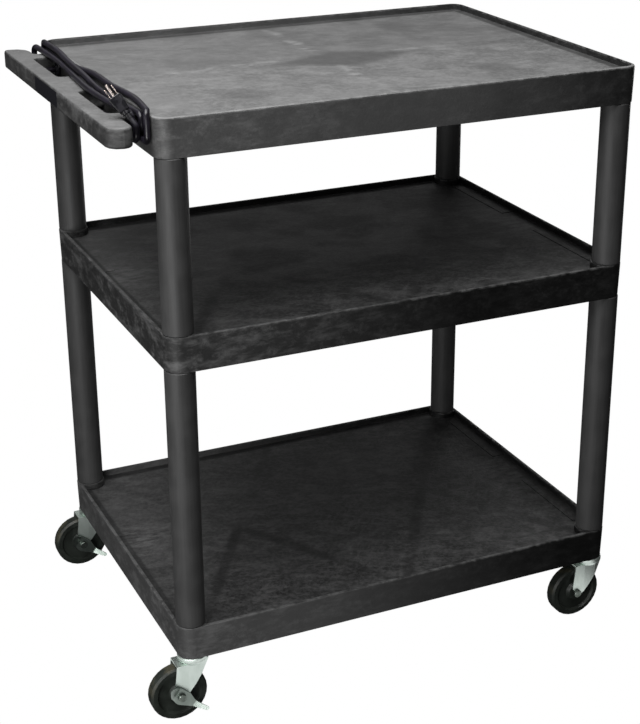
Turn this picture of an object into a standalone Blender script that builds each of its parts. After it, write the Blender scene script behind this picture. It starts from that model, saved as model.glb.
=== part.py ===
"""Audio visual cart: three moulded shelves on tube legs, four swivel casters, a handle and its wound cord."""

import math

import bmesh
import bpy
import numpy as np
from mathutils import Matrix, Vector

# Every length is in metres, +Z is up, -X is the handle end and -Y is the front side.
# Pieces are drawn from the shelves' middle, and centre_plan moves them all at the end.
FIT = 0.0003  # clearance left between two pieces that touch
BURY = 0.002  # depth that a joined piece reaches into the solid that it grows from
OVERRUN = 0.010  # length that a cutter runs past the wall that it cuts
UNIT = 1.0
TINY = 1e-6
MERGE = 0.0001

# Shelves
SHELF_LENGTH = 0.850
SHELF_WIDTH = 0.638
TOP_SHELF_LONGER = 0.0056
TOP_SHELF_NARROWER = 0.0004
TOP_SHELF_LENGTH = SHELF_LENGTH + TOP_SHELF_LONGER
TOP_SHELF_WIDTH = SHELF_WIDTH - TOP_SHELF_NARROWER
SHELF_CORNER = 0.026
SHELF_DRAFT = math.radians(1.0)
SKIRT_WALL = 0.005
DECK = 0.006
LIP_HEIGHT = 0.012
LIP_WIDTH = 0.0055
DECK_FILLET = 0.002
SKIRT_HEIGHT = 0.0615
TOP_SKIRT_HEIGHT = 0.0636
RIM_EDGE = 0.002
TOP_RIM_EDGE = 0.004
SKIRT_BOTTOM_EDGE = 0.001
BOSS_RADIUS = 0.0274
RIB_THICKNESS = 0.004
RIB_DEPTH = 0.010
RIB_CROSSING_SHARE = 0.46  # where the long ribs cross the length, as a share of the half length
STRIP_HEIGHT = 0.001
STRIP_FROM_END = 0.033
STRIP_START = 0.058
STRIP_FROM_SIDE = 0.069

# Legs
LEG_RADIUS = 0.0254
LEG_WALL = 0.0038
LEG_CHAMFER = 0.001
LEG_INSET_LENGTH = 0.0262
LEG_INSET_WIDTH = 0.0256
LOWER_LEG = 0.466
UPPER_LEG = 0.287
SPIGOT_WALL = 0.0035
SPIGOT_LENGTH = 0.055

# Handle, moulded with the top shelf
HANDLE_REACH = 0.0720
HANDLE_BAR = 0.031
CORD_GAP = 0.0302  # between the handle's ears and the skirt
HANDLE_NEAR_SHORT = 0.0053
HANDLE_FAR_SHORT = 0.0138
NEAR_NOSE_OUTER = 0.0245
NEAR_NOSE_INNER = 0.016
FAR_NOSE_OUTER = 0.006
FAR_NOSE_INNER = 0.030
HANDLE_THICKNESS = 0.0325
HANDLE_BELOW_RIM = 0.0090
HANDLE_EDGE = 0.005
HANDLE_ROOT_SHORT = 0.0006
BRIDGE_SHORT = 0.0688
BRIDGE_LENGTH = 0.034
BRIDGE_CORNER = 0.004
BRIDGE_THICKNESS = 0.015  # the near bridge is thinner, so that the cord lies under it
CHANNEL_EDGE = 0.0005
WEB_HALF = 0.055
SLOT_CORNER = 0.010

# Casters, each measured from its swivel axis at the floor
WHEEL_RADIUS = 0.0508
WHEEL_WIDTH = 0.024
TREAD_SHOULDER = 0.0035
WHEEL_RIM_RADIUS = 0.040
WHEEL_DISH = 0.0045
WHEEL_DISH_RADIUS = 0.037
WHEEL_HUB_RADIUS = 0.015
WHEEL_HUB_FOOT = 0.019
WHEEL_HUB_WIDTH = 0.027
WHEEL_BORE = 0.00655
TRAIL = 0.029
FORK_INNER = 0.0145
FORK_SHEET = 0.0025
FORK_PLATE_TOP = 0.108
FORK_CREASE = -0.014
FORK_CREASE_RADIUS = 0.006
FORK_WING_IN = 0.0014
FORK_NOSE_START = 0.010
FORK_NOSE_IN = 0.0105
FORK_SIDE = ((-0.0335, 0.108), (-0.0389, 0.058), (-0.0195, 0.0440), (-0.0002, 0.0664), (0.0102, 0.0819),
             (0.027, 0.106), (0.027, 0.108))
FORK_SIDE_RADII = (0.0, 0.012, 0.0105, 0.020, 0.030, 0.0, 0.0)
FORK_REACH = 0.060
FORK_BOTTOM_CUT = 0.030
RACE_INNER = 0.0063
RACE_FOOT = 0.022
RACE_OUTER = 0.026
RACE_TOP = 0.1142
CUP_RADIUS = 0.026
CUP_BOTTOM = 0.1145
CUP_TOP = 0.1203
CUP_CHAMFER = 0.0015
KINGPIN_RADIUS = 0.006
RIVET_RADIUS = 0.009
RIVET_BOTTOM = 0.1015
RIVET_TOP = 0.1052
STEM_RADIUS = 0.0055
STEM_LENGTH = 0.038
STEM_CHAMFER = 0.001
SOCKET_RADIUS = 0.008
SOCKET_BORE = 0.0058
SOCKET_LENGTH = 0.040
AXLE_RADIUS = 0.00395
AXLE_HEAD_RADIUS = 0.0075
AXLE_HEAD = 0.005
AXLE_HEAD_CHAMFER = 0.001
AXLE_TIP = 0.0025
NUT_RADIUS = 0.0075
NUT_HEIGHT = 0.0062
NUT_CHAMFER = 0.0008
SLEEVE_RADIUS = 0.00625
BRAKE_CAM_RADIUS = 0.010
BRAKE_CAM_THICKNESS = 0.0032
BRAKE_SHEET = 0.0024
BRAKE_TILT = math.radians(36.0)
BRAKE_SIDE = ((-0.030, 0.012), (-0.034, 0.006), (-0.020, -0.008), (0.000, -0.0155), (0.024, -0.009),
              (0.049, -0.001), (0.052, 0.006), (0.028, 0.003), (0.010, 0.0125), (-0.008, 0.0135))
BRAKE_SIDE_RADII = (0.003, 0.003, 0.012, 0.014, 0.030, 0.003, 0.002, 0.014, 0.008, 0.009)
BRAKE_BEND_LEFT = -0.013
BRAKE_BEND_RIGHT = 0.028
BRAKE_FLARE_SHARE = 0.62
BRAKE_BEND_RADIUS = 0.004

# Outlet strip inside the left skirt: this part isn't seen in the photo
OUTLET_DEPTH = 0.038
OUTLET_LENGTH = 0.200
OUTLET_MIDDLE_SHARE = 0.443  # of the way from the middle to the legs
OUTLET_HEIGHT = 0.034
OUTLET_WALL = 0.0025
OUTLET_END_BLOCK = 0.014
OUTLET_CORNER = 0.004
OUTLET_INSIDE = 0.0062
COVER_THICKNESS = 0.0025
RECEPTACLE_COUNT = 3
RECEPTACLE_SHIFT = 0.010
RECEPTACLE_PITCH = 0.052
RECEPTACLE_WIDTH = 0.024
RECEPTACLE_LENGTH = 0.033
RECEPTACLE_FLANGE = 0.002
RECEPTACLE_FLANGE_THICKNESS = 0.0025
RECEPTACLE_PROUD = 0.0015
RECEPTACLE_BODY = 0.016
RECEPTACLE_CORNER = 0.004
BLADE_SLOT_LENGTH = 0.0078
BLADE_SLOT_WIDTH = 0.0022
BLADE_SLOT_OFFSET = 0.003
GROUND_HOLE_OFFSET = 0.0075
GROUND_HOLE_RADIUS = 0.0027
SLOT_DEPTH = 0.010
SCREW_RADIUS = 0.002
SCREW_HEAD_RADIUS = 0.004
SCREW_HEAD = 0.0022
SCREW_LENGTH = 0.020
SCREW_DRIVE_WIDTH = 0.0012
SCREW_DRIVE_DEPTH = 0.001
GLAND_FROM_END = 0.025
GLAND_BELOW_RIM = 0.0308
GLAND_RADIUS = 0.0075
GLAND_HEAD_RADIUS = 0.0105
GLAND_HEAD = 0.0075
GLAND_NOSE_RADIUS = 0.0072
GLAND_NUT_RADIUS = 0.009
GLAND_NUT = 0.005

# Cord: a lead from the gland, three loops round the handle and a tail that ends in the plug
CORD_DIAMETER = 0.0102
CORD_REST = 0.0005  # air between the cord and what it lies on
CORD_BEND = 0.010
CORD_LOOPS = 3
CORD_SIDE_STATIONS = 5  # along a top run, between its two bends
CORD_LAYER = 0.0108
# Upright stretches at both ends of the handle: distance out from the skirt and past the bridge's outer side
NEAR_COLUMNS = ((0.0172, 0.0095), (0.0056, 0.0180), (0.0056, 0.0440), (0.0172, 0.0280))
FAR_COLUMNS = ((0.0215, 0.0345), (0.0080, 0.0166), (0.0056, 0.0057))
# Top runs, near end to far end: distance out from the skirt and height above the handle's top
TOP_RUN_PLACES = ((0.0182, 0.0267, 0.0290, 0.0244, 0.0186, 0.0166, 0.0196),
                  (0.0060, 0.0124, 0.0148, 0.0146, 0.0150, 0.0085, 0.0095),
                  (0.0020, -0.0060, 0.0010, 0.0014, 0.0054, 0.0056, 0.0056))
RISE = 0.0098
TOP_RUN_RISES = ((0.0, 0.0, 0.0, 0.0, 0.0, 0.0, 0.0),
                 (0.0, 0.0, 0.0, 0.0060, 0.0112, 0.0116, 0.0112),
                 (RISE, RISE, RISE, RISE, 0.0030, 0.0, 0.0))
# Runs below the handle, the lead's first: distance out from the skirt and layer, at each of four stations
RUN_TURNS = ((0.0167, 0.0), (0.0245, 0.0), (0.0167, 1.0), (0.0056, 2.0))
RUN_FARS = ((0.0167, 0.0), (0.0056, 0.0), (0.0062, 1.0), (0.0056, 2.0))
RUN_WEBS = ((0.0167, 0.0), (0.0056, 0.0), (0.0056, 1.0), (0.0167, 2.0))
RUN_NEARS = ((0.0172, 0.0), (0.0056, 0.0), (0.0056, 1.0), (0.0172, 1.0))
RUN_FAR_ALONG = 0.160
RUN_WEB_PAST = 0.012
RUN_NEAR_BEFORE = 0.026
RUN_SPLIT_SHARE = 0.6
TOP_BEND_SHARES = (0.0, 0.08, 0.40, 1.0)
BOTTOM_BEND_SHARES = (0.0, 0.5, 0.9, 1.0)
LEAD_DROP = 0.078
LEAD_DROP_STATIONS = 10
LEAD_PULL_OUT = 0.016
LEAD_PULL_ALONG = 0.045
LEAD_RUN_STATIONS = 4
TAIL_BEND = 0.010
TAIL_RISE = 0.0020  # height of the tail's end above the handle's top
TAIL_STATIONS = 6
PLUG_SLOPE = math.radians(48.0)
PLUG_HEADING = math.radians(37.4)
PLUG_ROLL = math.radians(235.0)
RELIEF_RADIUS = 0.0060
RELIEF_NECK = 0.0052
RELIEF_LENGTH = 0.008
RELIEF_RINGS = 2
PLUG_NECK_RADIUS = 0.0066
PLUG_NECK = 0.006
PLUG_HALF_WIDTH = 0.0105
PLUG_HALF_HEIGHT = 0.0095
PLUG_BODY = 0.026
PLUG_CORNER = 0.004
PLUG_TAPER_SHARE = 0.78
PRONG_SPACING = 0.0127
PRONG_WIDTH = 0.0063
PRONG_THICKNESS = 0.0015
PRONG_OUT = 0.0175
PRONG_IN = 0.008
PRONG_HEIGHT = 0.0045
GROUND_DROP = 0.0062
GROUND_RADIUS = 0.0024
GROUND_OUT = 0.020

# How finely round shapes are cut
CORNER_STEPS = 6
EDGE_STEPS = 2
ARC_STEP = math.radians(30.0)
LEG_STEPS = 18
WHEEL_STEPS = 28
RACE_STEPS = 20
PIN_STEPS = 12
HEX = 6
FINE_CORD_STEPS = 2
COARSE_CORD_STEPS = 1
SPLINE = "POLY"

PARTS_NAME = "audio_visual_cart"
CUTTERS_NAME = "cutters"

HALF = 0.5
CASTER_HEIGHT = 0.1206
BOTTOM_RIM = CASTER_HEIGHT + SKIRT_HEIGHT
MIDDLE_RIM = BOTTOM_RIM + LOWER_LEG + SKIRT_HEIGHT
TOP_RIM = MIDDLE_RIM + UPPER_LEG + TOP_SKIRT_HEIGHT
LEG_X = SHELF_LENGTH * HALF - LEG_INSET_LENGTH
LEG_Y = SHELF_WIDTH * HALF - LEG_INSET_WIDTH
HANDLE_TOP = TOP_RIM - HANDLE_BELOW_RIM
HANDLE_BOTTOM = HANDLE_TOP - HANDLE_THICKNESS
TOP_SKIRT_X = TOP_SHELF_LENGTH * HALF
HANDLE_OUTER = TOP_SKIRT_X + HANDLE_REACH
HANDLE_EAR_INNER = TOP_SKIRT_X + CORD_GAP
HANDLE_NEAR = TOP_SHELF_WIDTH * HALF - HANDLE_NEAR_SHORT
HANDLE_FAR = TOP_SHELF_WIDTH * HALF - HANDLE_FAR_SHORT
BRIDGE_OUTER = TOP_SHELF_WIDTH * HALF - BRIDGE_SHORT
BRIDGE_INNER = BRIDGE_OUTER - BRIDGE_LENGTH
BRIDGE_BOTTOM = HANDLE_TOP - BRIDGE_THICKNESS
OUTLET_MIDDLE = LEG_Y * OUTLET_MIDDLE_SHARE
OUTLET_START = OUTLET_MIDDLE - OUTLET_LENGTH * HALF
OUTLET_END = OUTLET_MIDDLE + OUTLET_LENGTH * HALF
OUTLET_SIDE = TOP_SKIRT_X - OUTLET_INSIDE
RECEPTACLE_MIDDLE = OUTLET_MIDDLE - RECEPTACLE_SHIFT
GLAND_ALONG = OUTLET_END - GLAND_FROM_END
CORNERS = {"lf": (-LEG_X, -LEG_Y), "lb": (-LEG_X, LEG_Y), "rf": (LEG_X, -LEG_Y), "rb": (LEG_X, LEG_Y)}
BRAKED = ("lf", "lb")

QUARTER = math.pi * HALF
UPRIGHT = Matrix.Identity(4)
ALONG_Y = Matrix.Rotation(QUARTER, 4, "X")  # a shape drawn in X and Y stands in X and Z
ALONG_X = Matrix.Rotation(QUARTER, 4, "Y")

FINISHES = {
    "moulded": ((0.055, 0.056, 0.058), 0.0, 0.55),
    "leg": ((0.040, 0.041, 0.043), 0.0, 0.45),
    "zinc": ((0.66, 0.70, 0.66), 1.0, 0.35),
    "steel": ((0.55, 0.56, 0.57), 1.0, 0.30),
    "wheel": ((0.022, 0.024, 0.020), 0.0, 0.50),
    "cord": ((0.030, 0.027, 0.034), 0.0, 0.45),
    "insert": ((0.30, 0.30, 0.30), 0.0, 0.50),
    "brass": ((0.75, 0.66, 0.45), 1.0, 0.28),
}


def clear_scene():
    for found in list(bpy.data.objects):
        bpy.data.objects.remove(found, do_unlink=True)


def collection(name, shown):
    made = bpy.data.collections.new(name)
    bpy.context.scene.collection.children.link(made)
    made.hide_render = not shown
    return made


def finish(name, kind):
    colour, metallic, roughness = FINISHES[kind]
    made = bpy.data.materials.new(name)
    made.use_nodes = True
    shader = made.node_tree.nodes["Principled BSDF"]
    shader.inputs["Base Color"].default_value = (*colour, UNIT)
    shader.inputs["Metallic"].default_value = metallic
    shader.inputs["Roughness"].default_value = roughness
    made.diffuse_color = (*colour, UNIT)
    return made


def as_part(thing, kind):
    PARTS.objects.link(thing)
    thing.data.materials.clear()
    thing.data.materials.append(finish(thing.name, kind))
    return thing


def as_tool(thing):
    CUTTERS.objects.link(thing)
    thing.hide_render = True
    thing.display_type = "WIRE"
    return thing


def combine(thing, tool, operation):
    if tool.name not in CUTTERS.objects:
        as_tool(tool)
    change = thing.modifiers.new(operation.lower(), "BOOLEAN")
    change.operation = operation
    change.solver = "EXACT"
    change.object = tool
    return thing


def cut(thing, *tools):
    for tool in tools:
        combine(thing, tool, "DIFFERENCE")
    return thing


def join(thing, *tools):
    for tool in tools:
        combine(thing, tool, "UNION")
    return thing


def weld(mesh):
    work = bmesh.new()
    work.from_mesh(mesh)
    bmesh.ops.remove_doubles(work, verts=work.verts, dist=MERGE * HALF * HALF)
    bmesh.ops.recalc_face_normals(work, faces=work.faces)
    work.to_mesh(mesh)
    work.free()


def from_bmesh(name, work):
    mesh = bpy.data.meshes.new(name)
    work.to_mesh(mesh)
    work.free()
    return bpy.data.objects.new(name, mesh)


def box(name, low, high, matrix=UPRIGHT):
    work = bmesh.new()
    bmesh.ops.create_cube(work, size=UNIT)
    size = Vector(high) - Vector(low)
    middle = (Vector(high) + Vector(low)) * HALF
    for vertex in work.verts:
        vertex.co = Vector(a * b for a, b in zip(vertex.co, size)) + middle
    thing = from_bmesh(name, work)
    thing.matrix_world = matrix
    return thing


def rounded_box(name, half_x, half_y, low, high, corner, drawn_from, top_edge=0.0, bottom_edge=0.0,
                draft=0.0, steps=CORNER_STEPS, edge_steps=EDGE_STEPS):
    """Block with rounded upright corners and its walls drawn in below the height drawn_from."""
    work = bmesh.new()
    bmesh.ops.create_cube(work, size=UNIT)
    for vertex in work.verts:
        x, y, z = vertex.co
        vertex.co = (math.copysign(half_x, x), math.copysign(half_y, y), high if z > 0 else low)
    upright = [e for e in work.edges if abs(e.verts[0].co.z - e.verts[1].co.z) > TINY]
    bmesh.ops.bevel(work, geom=upright, offset=corner, offset_type="OFFSET", segments=steps, profile=HALF,
                    affect="EDGES")
    for level, edge in ((high, top_edge), (low, bottom_edge)):
        if edge:
            ring = [e for e in work.edges if all(abs(v.co.z - level) < TINY for v in e.verts)]
            bmesh.ops.bevel(work, geom=ring, offset=edge, offset_type="OFFSET", segments=edge_steps,
                            profile=HALF, affect="EDGES")
    for vertex in work.verts:
        pull = (drawn_from - vertex.co.z) * math.tan(draft)
        vertex.co.x -= math.copysign(pull, vertex.co.x)
        vertex.co.y -= math.copysign(pull, vertex.co.y)
    return from_bmesh(name, work)


def cylinder(name, radius, low, high, at=(0.0, 0.0), steps=PIN_STEPS, matrix=UPRIGHT):
    work = bmesh.new()
    bmesh.ops.create_cone(work, cap_ends=True, segments=steps, radius1=radius, radius2=radius,
                          depth=high - low, matrix=Matrix.Translation((at[0], at[1], (low + high) * HALF)))
    thing = from_bmesh(name, work)
    thing.matrix_world = matrix
    return thing


def turned(name, profile, steps, matrix=UPRIGHT, ring=False):
    """Solid of revolution about its own Z: the profile is radius and height, down its outer side."""
    mesh = bpy.data.meshes.new(name)
    count = len(profile)
    edges = [(i, i + 1) for i in range(count - 1)]
    if ring:
        edges.append((count - 1, 0))
    mesh.from_pydata([(radius, 0.0, height) for radius, height in profile], edges, [])
    thing = bpy.data.objects.new(name, mesh)
    thing.matrix_world = matrix
    turn = thing.modifiers.new("turn", "SCREW")
    turn.steps = steps
    turn.render_steps = steps
    turn.use_merge_vertices = True
    turn.merge_threshold = MERGE
    turn.use_smooth_shade = False
    return thing


def rounded_outline(corners):
    """Closed outline: each corner (x, y, radius) becomes an arc worked out from its two sides."""
    points = []
    count = len(corners)
    for index, (x, y, radius) in enumerate(corners):
        here = Vector((x, y))
        if radius == 0:
            points.append(tuple(here))
            continue
        back = (Vector(corners[index - 1][:2]) - here).normalized()
        ahead = (Vector(corners[(index + 1) % count][:2]) - here).normalized()
        half_angle = back.angle(ahead) * HALF
        centre = here + (back + ahead).normalized() * (radius / math.sin(half_angle))
        reach = radius / math.tan(half_angle)
        start = here + back * reach - centre
        end = here + ahead * reach - centre
        turn = math.atan2(start.x * end.y - start.y * end.x, start.dot(end))
        pieces = max(2, math.ceil(abs(turn) / ARC_STEP))
        for step in range(pieces + 1):
            angle = turn * step / pieces
            points.append((centre.x + start.x * math.cos(angle) - start.y * math.sin(angle),
                           centre.y + start.x * math.sin(angle) + start.y * math.cos(angle)))
    return points


def baked(thing):
    """A curve as a plain mesh with welded caps, in the same place."""
    bpy.context.scene.collection.objects.link(thing)
    graph = bpy.context.evaluated_depsgraph_get()
    mesh = bpy.data.meshes.new_from_object(thing.evaluated_get(graph))
    name, matrix, curve = thing.name, thing.matrix_world.copy(), thing.data
    bpy.data.objects.remove(thing)
    bpy.data.curves.remove(curve)
    weld(mesh)
    mesh.name = name
    made = bpy.data.objects.new(name, mesh)
    made.matrix_world = matrix
    return made


def plate(name, outline, low, high, edge=0.0, matrix=UPRIGHT):
    """Flat outline given thickness, its long edges rounded by the radius edge."""
    curve = bpy.data.curves.new(name, "CURVE")
    curve.dimensions = "2D"
    curve.fill_mode = "BOTH"
    curve.extrude = (high - low) * HALF - edge
    curve.bevel_depth = edge
    curve.bevel_resolution = EDGE_STEPS if edge else 0
    curve.offset = -edge
    spline = curve.splines.new(SPLINE)
    spline.points.add(len(outline) - 1)
    for point, (x, y) in zip(spline.points, outline):
        point.co = (x, y, 0.0, UNIT)
    spline.use_cyclic_u = True
    thing = bpy.data.objects.new(name, curve)
    thing.matrix_world = matrix @ Matrix.Translation((0.0, 0.0, (high + low) * HALF))
    return baked(thing)


def strip_outline(path, thickness, radius):
    """Outline of a bent sheet: the path offset to both sides, its inner bends rounded."""
    left, right = [], []
    for index, place in enumerate(path):
        before = Vector(path[max(index - 1, 0)])
        after = Vector(path[min(index + 1, len(path) - 1)])
        here = Vector(place)
        first = (here - before).normalized() if index else (after - here).normalized()
        last = (after - here).normalized() if index < len(path) - 1 else first
        normal = (Vector((-first.y, first.x)) + Vector((-last.y, last.x))).normalized()
        reach = thickness * HALF / max(normal.dot(Vector((-first.y, first.x))), HALF)
        bend = radius if 0 < index < len(path) - 1 else 0.0
        left.append((*(here + normal * reach), bend))
        right.append((*(here - normal * reach), bend))
    return rounded_outline(right + left[::-1])


def cord_tube(name, points, rings):
    curve = bpy.data.curves.new(name, "CURVE")
    curve.dimensions = "3D"
    curve.fill_mode = "FULL"
    curve.bevel_depth = CORD_DIAMETER * HALF
    curve.bevel_resolution = rings
    curve.use_fill_caps = True
    spline = curve.splines.new(SPLINE)
    spline.points.add(len(points) - 1)
    for point, place in zip(spline.points, points):
        point.co = (*place, UNIT)
    return as_part(baked(bpy.data.objects.new(name, curve)), "cord")


def mix(first, last, share):
    return first + (last - first) * share


# Shelves and legs
def leg_places():
    return list(CORNERS.items())


def rib_blocks(tag, half_x, half_y, level):
    """Shallow ribs below a deck: one across each way, and four long ones that meet on the length."""
    low, high = level - RIB_DEPTH, level + OVERRUN
    half = RIB_THICKNESS * HALF
    ribs = [box(f"{tag}_rib_length", (-half_x, -half, low), (half_x, half, high)),
            box(f"{tag}_rib_width", (-half, -half_y, low), (half, half_y, high))]
    crossing = half_x * RIB_CROSSING_SHARE
    for side in (-1, 1):
        for end in (-1, 1):
            start, stop = Vector((0.0, -end * half_y)), Vector((side * crossing * 2, end * half_y))
            middle = (start + stop) * HALF
            reach = (stop - start).length * HALF
            turn = Matrix.Rotation(math.atan2(stop.y - start.y, stop.x - start.x), 4, "Z")
            ribs.append(box(f"{tag}_rib_{side}_{end}", (-reach, -half, low), (reach, half, high),
                            Matrix.Translation((*middle, 0.0)) @ turn))
    return ribs


def spigot(name, x, y, start, direction):
    """Open sleeve that a leg slides over, growing from its shelf."""
    outer = LEG_RADIUS - LEG_WALL - FIT
    inner = outer - SPIGOT_WALL
    root, tip = start - BURY * direction, start + SPIGOT_LENGTH * direction
    profile = [(inner, tip), (outer, tip), (outer, root), (inner, root)]
    if direction < 0:
        profile.reverse()
    return turned(name, profile, LEG_STEPS, Matrix.Translation((x, y, 0.0)), ring=True)


def shelf(name, half_x, half_y, rim, skirt, rim_edge, bosses_above, spigots_above, spigots_below, strips):
    bottom = rim - skirt
    deck = rim - LIP_HEIGHT
    outer = rounded_box(name, half_x, half_y, bottom, rim, SHELF_CORNER, rim, rim_edge, SKIRT_BOTTOM_EDGE,
                        SHELF_DRAFT)
    tray = rounded_box(f"{name}_tray", half_x - LIP_WIDTH, half_y - LIP_WIDTH, deck, rim + OVERRUN,
                       SHELF_CORNER - LIP_WIDTH, rim, 0.0, DECK_FILLET, SHELF_DRAFT)
    hollow = rounded_box(f"{name}_hollow", half_x - SKIRT_WALL, half_y - SKIRT_WALL, bottom - OVERRUN,
                         deck - DECK, SHELF_CORNER - SKIRT_WALL, rim, 0.0, 0.0, SHELF_DRAFT)
    for tag, (x, y) in leg_places():
        cut(hollow, cylinder(f"{name}_foot_{tag}", BOSS_RADIUS, bottom - OVERRUN * 2, deck, (x, y),
                             LEG_STEPS))
        if bosses_above:
            cut(tray, cylinder(f"{name}_boss_{tag}", BOSS_RADIUS, deck - OVERRUN, rim + OVERRUN * 2, (x, y),
                               LEG_STEPS))
    cut(hollow, *rib_blocks(name, half_x, half_y, deck - DECK))
    if strips:
        for side in (-1, 1):
            for end in (-1, 1):
                xs = sorted((side * (half_x - STRIP_FROM_END), side * half_x))
                ys = sorted((end * STRIP_START, end * (half_y - STRIP_FROM_SIDE)))
                cut(tray, box(f"{name}_strip_{side}_{end}", (xs[0], ys[0], deck - OVERRUN),
                              (xs[1], ys[1], deck + STRIP_HEIGHT)))
    cut(outer, tray, hollow)
    for tag, (x, y) in leg_places():
        if spigots_above:
            join(outer, spigot(f"{name}_upper_spigot_{tag}", x, y, rim, 1))
        if spigots_below:
            join(outer, spigot(f"{name}_lower_spigot_{tag}", x, y, bottom, -1))
    return outer


def leg(name, x, y, low, high):
    outer, inner = LEG_RADIUS, LEG_RADIUS - LEG_WALL
    top, bottom = high - FIT, low + FIT
    profile = [(outer - LEG_CHAMFER, top), (outer, top - LEG_CHAMFER), (outer, bottom + LEG_CHAMFER),
               (outer - LEG_CHAMFER, bottom), (inner, bottom), (inner, top)]
    return as_part(turned(name, profile, LEG_STEPS, Matrix.Translation((x, y, 0.0)), ring=True), "leg")


def handle_side(end, half_width, outer_nose, inner_nose):
    """Corners of one half of the handle: its nose, its ear's inner side, its bridge and half the web."""
    root = TOP_SKIRT_X - SKIRT_WALL + HANDLE_ROOT_SHORT
    grip = HANDLE_OUTER - HANDLE_BAR
    return [(-HANDLE_OUTER, end * half_width, outer_nose), (-HANDLE_EAR_INNER, end * half_width, inner_nose),
            (-HANDLE_EAR_INNER, end * BRIDGE_OUTER, BRIDGE_CORNER), (-root, end * BRIDGE_OUTER, 0.0),
            (-root, end * BRIDGE_INNER, 0.0), (-grip, end * BRIDGE_INNER, SLOT_CORNER),
            (-grip, end * WEB_HALF, SLOT_CORNER), (-root, end * WEB_HALF, 0.0)]


def handle_shape():
    """Comb-shaped plate: bar, two hooked ears, two end bridges and a wide middle web."""
    near = handle_side(-1, HANDLE_NEAR, NEAR_NOSE_OUTER, NEAR_NOSE_INNER)
    far = handle_side(1, HANDLE_FAR, FAR_NOSE_OUTER, FAR_NOSE_INNER)
    shape = plate("handle", rounded_outline(near + far[::-1]), HANDLE_BOTTOM, HANDLE_TOP, HANDLE_EDGE)
    low = (CHANNEL_EDGE - HANDLE_EAR_INNER, -BRIDGE_OUTER - OVERRUN, HANDLE_BOTTOM - OVERRUN)
    channel = box("cord_channel", low, (-TOP_SKIRT_X * HALF, -BRIDGE_INNER + OVERRUN, BRIDGE_BOTTOM))
    return cut(shape, channel)


def top_shelf():
    thing = shelf("top_shelf", TOP_SKIRT_X, TOP_SHELF_WIDTH * HALF, TOP_RIM, TOP_SKIRT_HEIGHT, TOP_RIM_EDGE,
                  False, False, True, False)
    join(thing, handle_shape())
    reach = TOP_SKIRT_X + OVERRUN
    place = Matrix.Translation((-reach + OVERRUN, GLAND_ALONG, TOP_RIM - GLAND_BELOW_RIM)) @ ALONG_X
    cut(thing, cylinder("gland_hole", GLAND_RADIUS + FIT, -OVERRUN - SKIRT_WALL, OVERRUN, matrix=place))
    return as_part(thing, "moulded")


def middle_shelf():
    return as_part(shelf("middle_shelf", SHELF_LENGTH * HALF, SHELF_WIDTH * HALF, MIDDLE_RIM, SKIRT_HEIGHT,
                         RIM_EDGE, True, True, True, True), "moulded")


def bottom_shelf():
    thing = shelf("bottom_shelf", SHELF_LENGTH * HALF, SHELF_WIDTH * HALF, BOTTOM_RIM, SKIRT_HEIGHT, RIM_EDGE,
                  True, True, False, True)
    for tag, (x, y) in leg_places():
        cut(thing, cylinder(f"stem_hole_{tag}", SOCKET_RADIUS + FIT, CASTER_HEIGHT - OVERRUN,
                            CASTER_HEIGHT + SOCKET_LENGTH + FIT, (x, y)))
    return as_part(thing, "moulded")


# Casters
def stem_socket(tag, x, y):
    low, high = CASTER_HEIGHT, CASTER_HEIGHT + SOCKET_LENGTH
    profile = [(SOCKET_RADIUS - STEM_CHAMFER, high), (SOCKET_RADIUS, high - STEM_CHAMFER),
               (SOCKET_RADIUS, low), (SOCKET_BORE, low), (SOCKET_BORE, high)]
    place = Matrix.Translation((x, y, 0.0))
    return as_part(turned(f"stem_socket_{tag}", profile, PIN_STEPS, place, ring=True), "insert")


def caster_stem(tag, x, y):
    """Stem, bearing cup, kingpin and riveted head, turned as one piece that the fork swivels on."""
    tip = CASTER_HEIGHT + STEM_LENGTH
    profile = [(0.0, tip), (STEM_RADIUS, tip), (STEM_RADIUS, CUP_TOP), (CUP_RADIUS - CUP_CHAMFER, CUP_TOP),
               (CUP_RADIUS, CUP_TOP - CUP_CHAMFER), (CUP_RADIUS, CUP_BOTTOM), (KINGPIN_RADIUS, CUP_BOTTOM),
               (KINGPIN_RADIUS, RIVET_TOP), (RIVET_RADIUS, RIVET_TOP), (RIVET_RADIUS - CUP_CHAMFER, RIVET_BOTTOM),
               (0.0, RIVET_BOTTOM)]
    place = Matrix.Translation((x, y, 0.0))
    return as_part(turned(f"caster_stem_{tag}", profile, RACE_STEPS, place), "zinc")


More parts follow.
